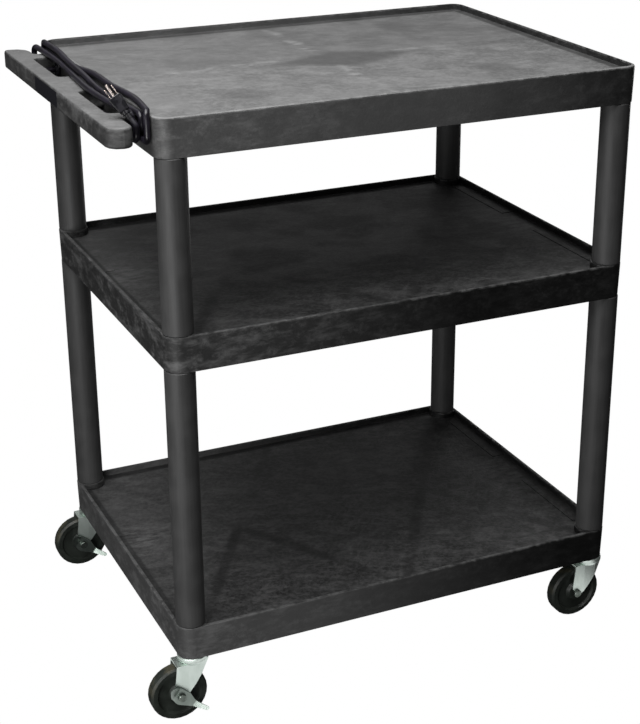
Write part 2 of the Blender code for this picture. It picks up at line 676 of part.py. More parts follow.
def fork(tag, x, y):
    """Stamped sheet: two legs with a crease and an inward wing each, a top plate and the lower bearing race."""
    middle = FORK_INNER + FORK_SHEET * HALF
    ahead = FORK_SIDE[-1][0] + FORK_SHEET
    behind = -FORK_REACH
    path = [(behind, middle), (FORK_CREASE, middle), (FORK_NOSE_START, middle - FORK_WING_IN),
            (ahead, middle - FORK_WING_IN - FORK_NOSE_IN)]
    side = rounded_outline([(px, pz, r) for (px, pz), r in zip(FORK_SIDE, FORK_SIDE_RADII)])
    name = f"caster_fork_{tag}"
    tall = FORK_PLATE_TOP + FORK_SHEET * 2
    legs = plate(name, strip_outline(path, FORK_SHEET, FORK_CREASE_RADIUS), FORK_BOTTOM_CUT, tall)
    mirrored = plate(f"{name}_other", strip_outline([(px, -py) for px, py in path], FORK_SHEET,
                                                   FORK_CREASE_RADIUS), FORK_BOTTOM_CUT, tall)
    top_corners = [(px, py, 0.0) for px, py in path] + [(px, -py, 0.0) for px, py in reversed(path)]
    top = plate(f"{name}_top", rounded_outline(top_corners), FORK_PLATE_TOP - FORK_SHEET,
                FORK_PLATE_TOP + FORK_SHEET)
    join(legs, mirrored, top)
    wide = middle + FORK_SHEET * 2
    combine(legs, plate(f"{name}_side", side, -wide, wide, matrix=ALONG_Y), "INTERSECT")
    race_foot = FORK_PLATE_TOP - FORK_SHEET * HALF
    race = turned(f"{name}_race", [(0.0, RACE_TOP), (RACE_OUTER, RACE_TOP),
                                   (RACE_OUTER, RACE_TOP - CUP_CHAMFER), (RACE_FOOT, race_foot),
                                   (0.0, race_foot)], RACE_STEPS)
    join(legs, race)
    cut(legs, cylinder(f"{name}_kingpin_hole", RACE_INNER, FORK_PLATE_TOP - OVERRUN, RACE_TOP + OVERRUN,
                       steps=RACE_STEPS),
        cylinder(f"{name}_axle_hole", AXLE_RADIUS + FIT, -wide - OVERRUN, wide + OVERRUN,
                 matrix=Matrix.Translation((-TRAIL, 0.0, WHEEL_RADIUS)) @ ALONG_Y))
    for piece in (legs, *(m.object for m in legs.modifiers)):
        piece.matrix_world = Matrix.Translation((x, y, 0.0)) @ piece.matrix_world
    return as_part(legs, "zinc")


def axle_frame(x, y):
    """The wheel's centre, with the turned pieces' own axis laid along the cart's width."""
    return Matrix.Translation((x - TRAIL, y, WHEEL_RADIUS)) @ ALONG_Y


def wheel(tag, x, y):
    half, hub = WHEEL_WIDTH * HALF, WHEEL_HUB_WIDTH * HALF
    face = half - WHEEL_DISH
    upper = [(WHEEL_BORE, hub), (WHEEL_HUB_RADIUS, hub), (WHEEL_HUB_FOOT, face), (WHEEL_DISH_RADIUS, face),
             (WHEEL_RIM_RADIUS, half), (WHEEL_RADIUS - TREAD_SHOULDER, half),
             (WHEEL_RADIUS, half - TREAD_SHOULDER)]
    profile = upper + [(radius, -height) for radius, height in reversed(upper)]
    return as_part(turned(f"wheel_{tag}", profile, WHEEL_STEPS, axle_frame(x, y), ring=True), "wheel")


def sleeve(tag, x, y):
    end = FORK_INNER - FIT
    bore = AXLE_RADIUS + FIT
    profile = [(SLEEVE_RADIUS, end), (SLEEVE_RADIUS, -end), (bore, -end), (bore, end)]
    return as_part(turned(f"axle_sleeve_{tag}", profile, PIN_STEPS, axle_frame(x, y), ring=True), "steel")


def head_seat(tag):
    """Distance from the wheel's middle to the seat of the axle's head, past a brake's pieces if it has them."""
    seat = FORK_INNER + FORK_SHEET + FIT
    return seat + BRAKE_CAM_THICKNESS + BRAKE_SHEET + FIT * 2 if tag in BRAKED else seat


def axle(tag, x, y):
    seat = head_seat(tag)
    end = -(FORK_INNER + FORK_SHEET + FIT + NUT_HEIGHT + AXLE_TIP)
    top = seat + AXLE_HEAD
    profile = [(0.0, top), (AXLE_HEAD_RADIUS - AXLE_HEAD_CHAMFER, top),
               (AXLE_HEAD_RADIUS, top - AXLE_HEAD_CHAMFER), (AXLE_HEAD_RADIUS, seat), (AXLE_RADIUS, seat),
               (AXLE_RADIUS, end + AXLE_HEAD_CHAMFER), (AXLE_RADIUS - AXLE_HEAD_CHAMFER, end), (0.0, end)]
    return as_part(turned(f"axle_bolt_{tag}", profile, PIN_STEPS, axle_frame(x, y)), "steel")


def axle_nut(tag, x, y):
    top = -(FORK_INNER + FORK_SHEET + FIT)
    low = top - NUT_HEIGHT
    name = f"axle_nut_{tag}"
    thing = cylinder(name, NUT_RADIUS, low, top, steps=HEX, matrix=axle_frame(x, y))
    cut(thing, cylinder(f"{name}_bore", AXLE_RADIUS + FIT, low - OVERRUN, top + OVERRUN,
                        matrix=axle_frame(x, y)))
    return as_part(thing, "steel")


def brake_cam(tag, x, y):
    low = FORK_INNER + FORK_SHEET + FIT
    high = low + BRAKE_CAM_THICKNESS
    bore = AXLE_RADIUS + FIT
    profile = [(BRAKE_CAM_RADIUS - NUT_CHAMFER, high), (BRAKE_CAM_RADIUS, high - NUT_CHAMFER),
               (BRAKE_CAM_RADIUS, low), (bore, low), (bore, high)]
    return as_part(turned(f"brake_cam_{tag}", profile, RACE_STEPS, axle_frame(x, y), ring=True), "steel")


def brake_lever(tag, x, y):
    """Pressed lever outside the fork: a flat middle on the axle and both ends flared outward."""
    inner = FORK_INNER + FORK_SHEET + BRAKE_CAM_THICKNESS + FIT * 2
    middle = inner + BRAKE_SHEET * HALF
    left, right = BRAKE_SIDE[1][0], BRAKE_SIDE[6][0]
    out_left = (BRAKE_BEND_LEFT - left) * BRAKE_FLARE_SHARE
    out_right = (right - BRAKE_BEND_RIGHT) * BRAKE_FLARE_SHARE
    path = [(left - OVERRUN, -(middle + out_left + OVERRUN * BRAKE_FLARE_SHARE)), (BRAKE_BEND_LEFT, -middle),
            (BRAKE_BEND_RIGHT, -middle),
            (right + OVERRUN, -(middle + out_right + OVERRUN * BRAKE_FLARE_SHARE))]
    name = f"brake_lever_{tag}"
    thing = plate(name, strip_outline(path, BRAKE_SHEET, BRAKE_BEND_RADIUS), -OVERRUN * 3, OVERRUN * 3)
    side = rounded_outline([(u, v, r) for (u, v), r in zip(BRAKE_SIDE, BRAKE_SIDE_RADII)])
    combine(thing, plate(f"{name}_side", side, -OVERRUN, OVERRUN * 6, matrix=ALONG_Y), "INTERSECT")
    cut(thing, cylinder(f"{name}_hole", AXLE_RADIUS + FIT, 0.0, OVERRUN * 6, matrix=ALONG_Y))
    place = Matrix.Translation((x - TRAIL, y, WHEEL_RADIUS)) @ Matrix.Rotation(BRAKE_TILT, 4, "Y")
    for piece in (thing, *(m.object for m in thing.modifiers)):
        piece.matrix_world = place @ piece.matrix_world
    return as_part(thing, "zinc")


def caster(tag, x, y):
    stem_socket(tag, x, y)
    caster_stem(tag, x, y)
    fork(tag, x, y)
    wheel(tag, x, y)
    sleeve(tag, x, y)
    axle(tag, x, y)
    axle_nut(tag, x, y)
    if tag in BRAKED:
        brake_cam(tag, x, y)
        brake_lever(tag, x, y)


# Outlet strip under the top shelf's left skirt
def outlet_strip():
    top = TOP_RIM - LIP_HEIGHT - DECK - FIT
    bottom = top - OUTLET_HEIGHT
    x0, x1 = -OUTLET_SIDE, -OUTLET_SIDE + OUTLET_DEPTH
    xm = (x0 + x1) * HALF
    ym = (OUTLET_START + OUTLET_END) * HALF
    half_x, half_y = OUTLET_DEPTH * HALF, (OUTLET_END - OUTLET_START) * HALF
    here = Matrix.Translation((xm, ym, 0.0))
    housing = rounded_box("outlet_housing", half_x, half_y, bottom, top, OUTLET_CORNER, top, steps=EDGE_STEPS)
    inside = rounded_box("outlet_inside", half_x - OUTLET_WALL, half_y - OUTLET_END_BLOCK, bottom - OVERRUN,
                         top - OUTLET_WALL, OUTLET_CORNER - OUTLET_WALL, top, steps=EDGE_STEPS)
    housing.matrix_world = inside.matrix_world = here
    hole = cylinder("outlet_gland_hole", GLAND_RADIUS + FIT, -OVERRUN, OUTLET_WALL + OVERRUN,
                    matrix=Matrix.Translation((x0, GLAND_ALONG, TOP_RIM - GLAND_BELOW_RIM)) @ ALONG_X)
    cut(housing, inside, hole)
    cover_top, cover_low = bottom - FIT, bottom - FIT - COVER_THICKNESS
    cover = rounded_box("outlet_cover", half_x, half_y, cover_low, cover_top, OUTLET_CORNER, cover_top,
                        steps=EDGE_STEPS)
    cover.matrix_world = here
    inset = OUTLET_END_BLOCK * HALF
    for end, y in (("near", OUTLET_START + inset), ("far", OUTLET_END - inset)):
        seat = cover_low - FIT
        tip = seat + SCREW_LENGTH
        screw = turned(f"outlet_screw_{end}",
                       [(0.0, tip), (SCREW_RADIUS - SCREW_DRIVE_DEPTH, tip),
                        (SCREW_RADIUS, tip - SCREW_DRIVE_DEPTH), (SCREW_RADIUS, seat), (SCREW_HEAD_RADIUS, seat),
                        (SCREW_HEAD_RADIUS, seat - SCREW_HEAD * HALF),
                        (SCREW_HEAD_RADIUS * HALF, seat - SCREW_HEAD), (0.0, seat - SCREW_HEAD)],
                       PIN_STEPS, Matrix.Translation((xm, y, 0.0)))
        long, thin = SCREW_HEAD_RADIUS, SCREW_DRIVE_WIDTH * HALF
        cut(screw, box(f"outlet_drive_{end}", (xm - thin, y - long, seat - SCREW_HEAD - OVERRUN),
                       (xm + thin, y + long, seat - SCREW_HEAD + SCREW_DRIVE_DEPTH)))
        as_part(screw, "steel")
        cut(cover, cylinder(f"outlet_cover_hole_{end}", SCREW_RADIUS + FIT, cover_low - OVERRUN,
                            cover_top + OVERRUN, (xm, y)))
        cut(housing, cylinder(f"outlet_screw_hole_{end}", SCREW_RADIUS + FIT, bottom - OVERRUN, tip + FIT,
                              (xm, y)))
    for index in range(RECEPTACLE_COUNT):
        y = RECEPTACLE_MIDDLE + (index - (RECEPTACLE_COUNT - 1) * HALF) * RECEPTACLE_PITCH
        half_w, half_l = RECEPTACLE_WIDTH * HALF, RECEPTACLE_LENGTH * HALF
        low, high = cover_low - RECEPTACLE_PROUD, cover_top + RECEPTACLE_BODY
        name = f"outlet_receptacle_{index + 1}"
        body = rounded_box(name, half_w, half_l, low, high, RECEPTACLE_CORNER, high, steps=EDGE_STEPS)
        flange = rounded_box(f"{name}_flange", half_w + RECEPTACLE_FLANGE, half_l + RECEPTACLE_FLANGE,
                             cover_top + FIT, cover_top + FIT + RECEPTACLE_FLANGE_THICKNESS,
                             RECEPTACLE_CORNER, high, steps=EDGE_STEPS)
        window = rounded_box(f"{name}_window", half_w + FIT, half_l + FIT, cover_low - OVERRUN,
                             cover_top + OVERRUN, RECEPTACLE_CORNER, high, steps=EDGE_STEPS)
        for piece in (body, flange, window):
            piece.matrix_world = Matrix.Translation((xm, y, 0.0))
        join(body, flange)
        for side in (-1, 1):
            yc, xc = y + side * PRONG_SPACING * HALF, xm - BLADE_SLOT_OFFSET
            cut(body, box(f"{name}_slot_{side}",
                          (xc - BLADE_SLOT_LENGTH * HALF, yc - BLADE_SLOT_WIDTH * HALF, low - OVERRUN),
                          (xc + BLADE_SLOT_LENGTH * HALF, yc + BLADE_SLOT_WIDTH * HALF, low + SLOT_DEPTH)))
        cut(body, cylinder(f"{name}_ground", GROUND_HOLE_RADIUS, low - OVERRUN, low + SLOT_DEPTH,
                           (xm + GROUND_HOLE_OFFSET, y)))
        as_part(body, "insert")
        cut(cover, window)
    as_part(housing, "moulded")
    as_part(cover, "moulded")


def cord_gland():
    """Bushing through the skirt: a ribbed head outside and a nut inside the outlet housing."""
    outside = FIT
    through = (TOP_SKIRT_X - OUTLET_SIDE) + OUTLET_WALL + FIT
    profile = [(0.0, through + GLAND_NUT), (GLAND_NUT_RADIUS, through + GLAND_NUT),
               (GLAND_NUT_RADIUS, through), (GLAND_RADIUS, through), (GLAND_RADIUS, -outside),
               (GLAND_HEAD_RADIUS, -outside),
               (GLAND_HEAD_RADIUS, -outside - GLAND_HEAD * HALF), (GLAND_NOSE_RADIUS, -outside - GLAND_HEAD),
               (0.0, -outside - GLAND_HEAD)]
    place = Matrix.Translation((-TOP_SKIRT_X, GLAND_ALONG, TOP_RIM - GLAND_BELOW_RIM)) @ ALONG_X
    return as_part(turned("cord_gland", profile, PIN_STEPS, place), "cord")


# Cord
CORD_RADIUS = CORD_DIAMETER * HALF
CORD_TOP = HANDLE_TOP + CORD_RADIUS + CORD_REST


def column(places, run, end):
    """Place of an upright stretch of cord at the near end (-1) or the far end (1)."""
    out, past = places[run]
    return -TOP_SKIRT_X - out, end * (BRIDGE_OUTER + past)


def run_point(stations, run, along, underside):
    out, layer = stations[run]
    return Vector((-TOP_SKIRT_X - out, along, underside - CORD_RADIUS - CORD_REST - CORD_LAYER * layer))


def run_points(run):
    """Stations of a run below the handle: after the far turn, beyond the web and before the near bridge."""
    far = run_point(RUN_FARS, run, RUN_FAR_ALONG, HANDLE_BOTTOM)
    web = run_point(RUN_WEBS, run, -WEB_HALF - RUN_WEB_PAST, HANDLE_BOTTOM)
    near = run_point(RUN_NEARS, run, RUN_NEAR_BEFORE - BRIDGE_INNER, BRIDGE_BOTTOM)
    return far, web, near


def split_point(run):
    """Where a run below the handle passes from one length of cord to the next."""
    far, web, _ = run_points(run)
    return far.lerp(web, RUN_SPLIT_SHARE)


def bend_steps(shares):
    """Angles of a quarter bend with the share of its sideways shift at each."""
    last = len(shares) - 1
    return [(QUARTER * step / last, share) for step, share in enumerate(shares)]


def bend(end, at, level, run_x, shares, upward):
    """Quarter bend between a column and the run that starts or ends one bend radius inside it."""
    x, y = at
    inside = y - end * CORD_BEND
    return [(mix(x, run_x, share), inside + end * CORD_BEND * math.cos(angle),
             level - upward * (CORD_BEND - CORD_BEND * math.sin(angle))) for angle, share in bend_steps(shares)]


def low_bend(run, end, stations, underside):
    place = column(NEAR_COLUMNS if end < 0 else FAR_COLUMNS, run if end < 0 else run - 1, end)
    start = run_point(stations, run, place[1], underside)
    return bend(end, place, start.z, start.x, BOTTOM_BEND_SHARES, -1)


def cord_loop(loop):
    """Stations of one loop: along below the handle, up a near column, over the handle and down a far column."""
    _, web, near = run_points(loop)
    places, rises = TOP_RUN_PLACES[loop], TOP_RUN_RISES[loop]
    tops = [(-TOP_SKIRT_X - place, CORD_TOP + rise) for place, rise in zip(places, rises)]
    near_place, far_place = column(NEAR_COLUMNS, loop, -1), column(FAR_COLUMNS, loop, 1)
    stations = [tuple(web), tuple(near)]
    stations += low_bend(loop, -1, RUN_NEARS, BRIDGE_BOTTOM)[::-1]
    stations += bend(-1, near_place, tops[0][1], tops[0][0], TOP_BEND_SHARES, 1)
    for step in range(1, CORD_SIDE_STATIONS + 1):
        share = step / (CORD_SIDE_STATIONS + 1)
        along = mix(near_place[1] + CORD_BEND, far_place[1] - CORD_BEND, share)
        stations.append((tops[step][0], along, tops[step][1]))
    stations += bend(1, far_place, tops[-1][1], tops[-1][0], TOP_BEND_SHARES, 1)[::-1]
    stations += low_bend(loop + 1, 1, RUN_TURNS, HANDLE_BOTTOM)
    stations.append(tuple(run_points(loop + 1)[0]))
    return stations


def winding_points():
    start, end = split_point(0), split_point(CORD_LOOPS)
    start += (run_points(0)[1] - start).normalized() * FIT
    return [tuple(start)] + [station for loop in range(CORD_LOOPS) for station in cord_loop(loop)] + [tuple(end)]


def cubic(start, start_pull, end_pull, end, share):
    rest = 1 - share
    return (start * rest**3 + start_pull * (3 * share * rest**2) + end_pull * (3 * share**2 * rest)
            + end * share**3)


def lead_points():
    """From the gland's face out and down below the handle, and along it to the first loop."""
    level = TOP_RIM - GLAND_BELOW_RIM
    face = -(TOP_SKIRT_X + GLAND_HEAD + FIT * 2)
    points = [(face, GLAND_ALONG, level), (face - CORD_DIAMETER, GLAND_ALONG, level)]
    end = run_point(RUN_FARS, 0, GLAND_ALONG - LEAD_DROP, HANDLE_BOTTOM)
    last = split_point(0)
    start = Vector(points[-1])
    pull_out, pull_back = start + Vector((-LEAD_PULL_OUT, 0.0, 0.0)), end + Vector((0.0, LEAD_PULL_ALONG, 0.0))
    for step in range(1, LEAD_DROP_STATIONS + 1):
        points.append(tuple(cubic(start, pull_out, pull_back, end, step / LEAD_DROP_STATIONS)))
    for step in range(1, LEAD_RUN_STATIONS + 1):
        points.append(tuple(end.lerp(last, step / LEAD_RUN_STATIONS)))
    return points


def plug_axis():
    level = math.cos(PLUG_SLOPE)
    return Vector((-math.sin(PLUG_HEADING) * level, math.cos(PLUG_HEADING) * level, math.sin(PLUG_SLOPE)))


def tail_points():
    """From the last loop along below the handle, up the last near column and over towards the plug."""
    _, web, near = run_points(CORD_LOOPS)
    start = split_point(CORD_LOOPS)
    start += (web - start).normalized() * FIT
    points = [tuple(start), tuple(web), tuple(near)]
    points += low_bend(CORD_LOOPS, -1, RUN_NEARS, BRIDGE_BOTTOM)[::-1]
    x, y = column(NEAR_COLUMNS, CORD_LOOPS, -1)
    axis = plug_axis()
    turn = QUARTER - PLUG_SLOPE
    foot = HANDLE_TOP + TAIL_RISE - axis.z * CORD_DIAMETER - TAIL_BEND * math.sin(turn)
    across = Vector((axis.x, axis.y, 0.0)).normalized()
    for step in range(TAIL_STATIONS):
        angle = turn * step / (TAIL_STATIONS - 1)
        points.append(tuple(Vector((x, y, foot + TAIL_BEND * math.sin(angle)))
                            + across * (TAIL_BEND - TAIL_BEND * math.cos(angle))))
    points.append(tuple(Vector(points[-1]) + axis * CORD_DIAMETER))
    return points


def least_gap(points):
    """Least air between two stretches of the winding that aren't neighbours, measured on close points."""
    closer = 12
    stations = np.array(points)
    steps = np.linspace(0.0, 1.0, closer, endpoint=False)[:, None]
    dense = np.concatenate([a + (b - a) * steps for a, b in zip(stations[:-1], stations[1:])])
    along = np.concatenate([[0.0], np.cumsum(np.linalg.norm(np.diff(dense, axis=0), axis=1))])
    apart = np.linalg.norm(dense[:, None, :] - dense[None, :, :], axis=2)
    apart[np.abs(along[:, None] - along[None, :]) < CORD_BEND * math.pi * 2] = UNIT
    return apart.min() - CORD_DIAMETER


def cord():
    winding = winding_points()
    lead, tail = lead_points(), tail_points()
    gap = least_gap(winding)
    length = sum((Vector(b) - Vector(a)).length for run in (lead, winding, tail) for a, b in zip(run, run[1:]))
    print(f"winding: {len(winding)} stations, least gap to itself {gap:.5f} m; cord length {length:.3f} m")
    cord_tube("cord_lead", lead, FINE_CORD_STEPS)
    cord_tube("cord_winding", winding, COARSE_CORD_STEPS)
    cord_tube("cord_tail", tail, FINE_CORD_STEPS)


# Plug
def plug_frame():
    """Own Z along the plug towards its prongs, own X across both flat prongs; starts at the cord's end."""
    axis = plug_axis()
    side = axis.cross(Vector((0.0, 0.0, UNIT))).normalized()
    up = side.cross(axis)
    turn = Matrix((side, up, axis)).transposed().to_4x4() @ Matrix.Rotation(PLUG_ROLL, 4, "Z")
    return Matrix.Translation(Vector(tail_points()[-1]) + axis * FIT) @ turn


def plug():
    frame = plug_frame()
    ring = RELIEF_LENGTH / (RELIEF_RINGS * 2)
    neck_end = RELIEF_LENGTH + PLUG_NECK
    profile = [(0.0, neck_end + BURY), (PLUG_NECK_RADIUS, neck_end + BURY), (PLUG_NECK_RADIUS, RELIEF_LENGTH)]
    for index in range(RELIEF_RINGS):
        top = RELIEF_LENGTH - index * ring * 2
        profile += [(RELIEF_NECK, top), (RELIEF_NECK, top - ring), (RELIEF_RADIUS, top - ring),
                    (RELIEF_RADIUS, top - ring * 2)]
    profile.append((0.0, 0.0))
    body = turned("plug_body", profile, PIN_STEPS, frame)
    block = rounded_box("plug_block", PLUG_HALF_WIDTH, PLUG_HALF_HEIGHT, neck_end, neck_end + PLUG_BODY,
                        PLUG_CORNER, neck_end + PLUG_BODY, RIM_EDGE, 0.0, steps=EDGE_STEPS)
    for vertex in block.data.vertices:
        if vertex.co.z < neck_end + TINY:
            vertex.co.x *= PLUG_TAPER_SHARE
            vertex.co.y *= PLUG_TAPER_SHARE
    block.matrix_world = frame
    join(body, block)
    face = neck_end + PLUG_BODY
    for side, label in ((-1, "left"), (1, "right")):
        middle = side * PRONG_SPACING * HALF
        across, tall = PRONG_THICKNESS * HALF, PRONG_WIDTH * HALF
        prong = box(f"plug_prong_{label}", (middle - across, PRONG_HEIGHT - tall, face - PRONG_IN),
                    (middle + across, PRONG_HEIGHT + tall, face + PRONG_OUT), frame)
        pocket = box(f"plug_pocket_{label}",
                     (middle - across - FIT, PRONG_HEIGHT - tall - FIT, face - PRONG_IN - FIT),
                     (middle + across + FIT, PRONG_HEIGHT + tall + FIT, face + OVERRUN), frame)
        cut(body, pocket)
        as_part(prong, "brass")
    ground = cylinder("plug_ground_pin", GROUND_RADIUS, face - PRONG_IN, face + GROUND_OUT,
                      (0.0, -GROUND_DROP), matrix=frame)
    cut(body, cylinder("plug_ground_pocket", GROUND_RADIUS + FIT, face - PRONG_IN - FIT, face + OVERRUN,
                       (0.0, -GROUND_DROP), matrix=frame))
    as_part(ground, "brass")
    as_part(body, "cord")


def centre_plan():
    """Move everything along the length, so that the origin is below the middle of handle and shelves."""
    shift = Matrix.Translation(((HANDLE_OUTER - TOP_SKIRT_X) * HALF, 0.0, 0.0))
    for thing in (*PARTS.objects, *CUTTERS.objects):
        thing.matrix_world = shift @ thing.matrix_world


clear_scene()
PARTS = collection(PARTS_NAME, True)
CUTTERS = collection(CUTTERS_NAME, False)
top_shelf()
middle_shelf()
bottom_shelf()
for corner_tag, (corner_x, corner_y) in leg_places():
    leg(f"leg_upper_{corner_tag}", corner_x, corner_y, MIDDLE_RIM, TOP_RIM - TOP_SKIRT_HEIGHT)
    leg(f"leg_lower_{corner_tag}", corner_x, corner_y, BOTTOM_RIM, MIDDLE_RIM - SKIRT_HEIGHT)
    caster(corner_tag, corner_x, corner_y)
outlet_strip()
cord_gland()
cord()
plug()
centre_plan()
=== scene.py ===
"""Audio visual cart: finishes, supply cord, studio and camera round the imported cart.

Lengths are metres in the cart's own frame: +Z up, -X the handle end, -Y the front side.
"""

import logging
import math
from dataclasses import dataclass, replace
from enum import Enum
from functools import partialmethod

import bpy
from mathutils import Matrix, Vector


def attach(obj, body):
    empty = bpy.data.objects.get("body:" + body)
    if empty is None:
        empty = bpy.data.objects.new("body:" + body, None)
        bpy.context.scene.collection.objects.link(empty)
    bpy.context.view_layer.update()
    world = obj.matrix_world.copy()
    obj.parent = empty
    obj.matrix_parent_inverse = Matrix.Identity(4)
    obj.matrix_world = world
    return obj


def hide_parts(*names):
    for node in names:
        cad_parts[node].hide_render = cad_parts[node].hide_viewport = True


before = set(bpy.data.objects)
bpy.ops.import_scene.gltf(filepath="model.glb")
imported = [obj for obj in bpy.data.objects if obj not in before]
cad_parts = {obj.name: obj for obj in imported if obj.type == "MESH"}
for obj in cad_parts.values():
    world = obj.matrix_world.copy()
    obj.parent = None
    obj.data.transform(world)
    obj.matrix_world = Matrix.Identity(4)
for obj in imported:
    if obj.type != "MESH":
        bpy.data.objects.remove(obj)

LOG = logging.getLogger("audio_visual_cart")
MM_PER_METRE = 1000.0
SEED_SHIFT = (1.0, 0.7, 0.3)

Colour = tuple[float, float, float, float]
Point = tuple[float, float, float]
Socket = bpy.types.NodeSocket
Span = tuple[float, float]  # low and high end, or inset and fading edge
Band = tuple[float, float, float]  # middle, half of the full width, fading edge
Fade = tuple[float, float, float, float]  # low and high end of what is read, and the result at each of them

# The origin is below the middle of handle and shelves, which lies this far from the shelves' own middle.
PLAN_SHIFT = 0.0360
LEG_ALONG = 0.3988
AXLE_TRAIL = 0.029
AXLE_HEIGHT = 0.0508
TOP_RIM = 1.0602
MIDDLE_RIM = 0.7096
BOTTOM_RIM = 0.1821


def linear(code: str) -> Colour:
    """Turn an sRGB hex colour into linear light.

    Args:
        code: Six hex digits, with or without a leading #.

    Returns:
        Linear red, green, blue and an alpha of one.
    """
    digits = code.lstrip("#")
    channels = [int(digits[i:i + 2], 16) / 255.0 for i in (0, 2, 4)]
    red, green, blue = (c / 12.92 if c <= 0.04045 else ((c + 0.055) / 1.055) ** 2.4 for c in channels)
    return red, green, blue, 1.0


def add_node(tree: bpy.types.NodeTree, kind: str, feeds: dict | None = None, **settings) -> bpy.types.Node:
    """Add a node with its settings, and feed its inputs with values, masks or other nodes' sockets.

    Args:
        tree: The tree that the node goes into.
        kind: Blender's name of the node type.
        feeds: Input name or number to a value, a mask or an output socket.
        settings: The node's own properties.

    Returns:
        The new node.
    """
    node = tree.nodes.new(kind)
    for name, value in settings.items():
        setattr(node, name, value)
    for key, value in (feeds or {}).items():
        source = value.socket if isinstance(value, Mask) else value
        if isinstance(source, bpy.types.NodeSocket):
            tree.links.new(source, node.inputs[key])
        else:
            node.inputs[key].default_value = source
    return node


class Corner(Enum):
    """The cart's corners, by the ending of their nodes' names."""

    LEFT_FRONT = "lf"
    LEFT_BACK = "lb"
    RIGHT_FRONT = "rf"
    RIGHT_BACK = "rb"

    @property
    def along(self) -> float:
        """Place of the corner's leg along the cart."""
        return PLAN_SHIFT + (-LEG_ALONG if self.value[0] == "l" else LEG_ALONG)

    @property
    def braked(self) -> bool:
        """Whether the corner's caster has a brake lever."""
        return self.value[0] == "l"


class Mask:
    """A number over a surface: masks join by *, + and -, and | takes the greater of two."""

    def __init__(self, tree: bpy.types.NodeTree, socket: Socket) -> None:
        """Hold the number's socket and the tree that it is in."""
        self.tree = tree
        self.socket = socket

    def join(self, operation: str, other: "Mask | float" = 0.0, after: bool = False) -> "Mask":
        """Join with another number by Blender's name of the arithmetic, before it or after it."""
        feeds = {0: other, 1: self} if after else {0: self, 1: other}
        return Mask(self.tree, add_node(self.tree, "ShaderNodeMath", feeds, operation=operation).outputs[0])

    __mul__ = partialmethod(join, "MULTIPLY")
    __add__ = partialmethod(join, "ADD")
    __sub__ = partialmethod(join, "SUBTRACT")
    __rsub__ = partialmethod(join, "SUBTRACT", after=True)
    __or__ = partialmethod(join, "MAXIMUM")
    __abs__ = partialmethod(join, "ABSOLUTE")


@dataclass(frozen=True)
class Clouds:
    """Soft irregular patches of a real size: none where the noise is below low, full where it is above high.

    A patch is size_mm wide, longer by stretch along each axis and turned by turn degrees on the plan. Detail
    is how many finer layers are added and grain their strength. Seed makes one set unlike another.
    """

    size_mm: float
    low: float = 0.35
    high: float = 0.65
    detail: float = 3.0
    stretch: Point = (1.0, 1.0, 1.0)
    turn: float = 0.0
    seed: float = 0.0
    grain: float = 0.55


@dataclass(frozen=True)
class Spot:
    """A round mark on a deck, placed from the deck's middle, with its full radius and its fading edge."""

    along: float
    across: float
    radius: float = 0.012
    soft: float = 0.044
    strength: float = 0.60


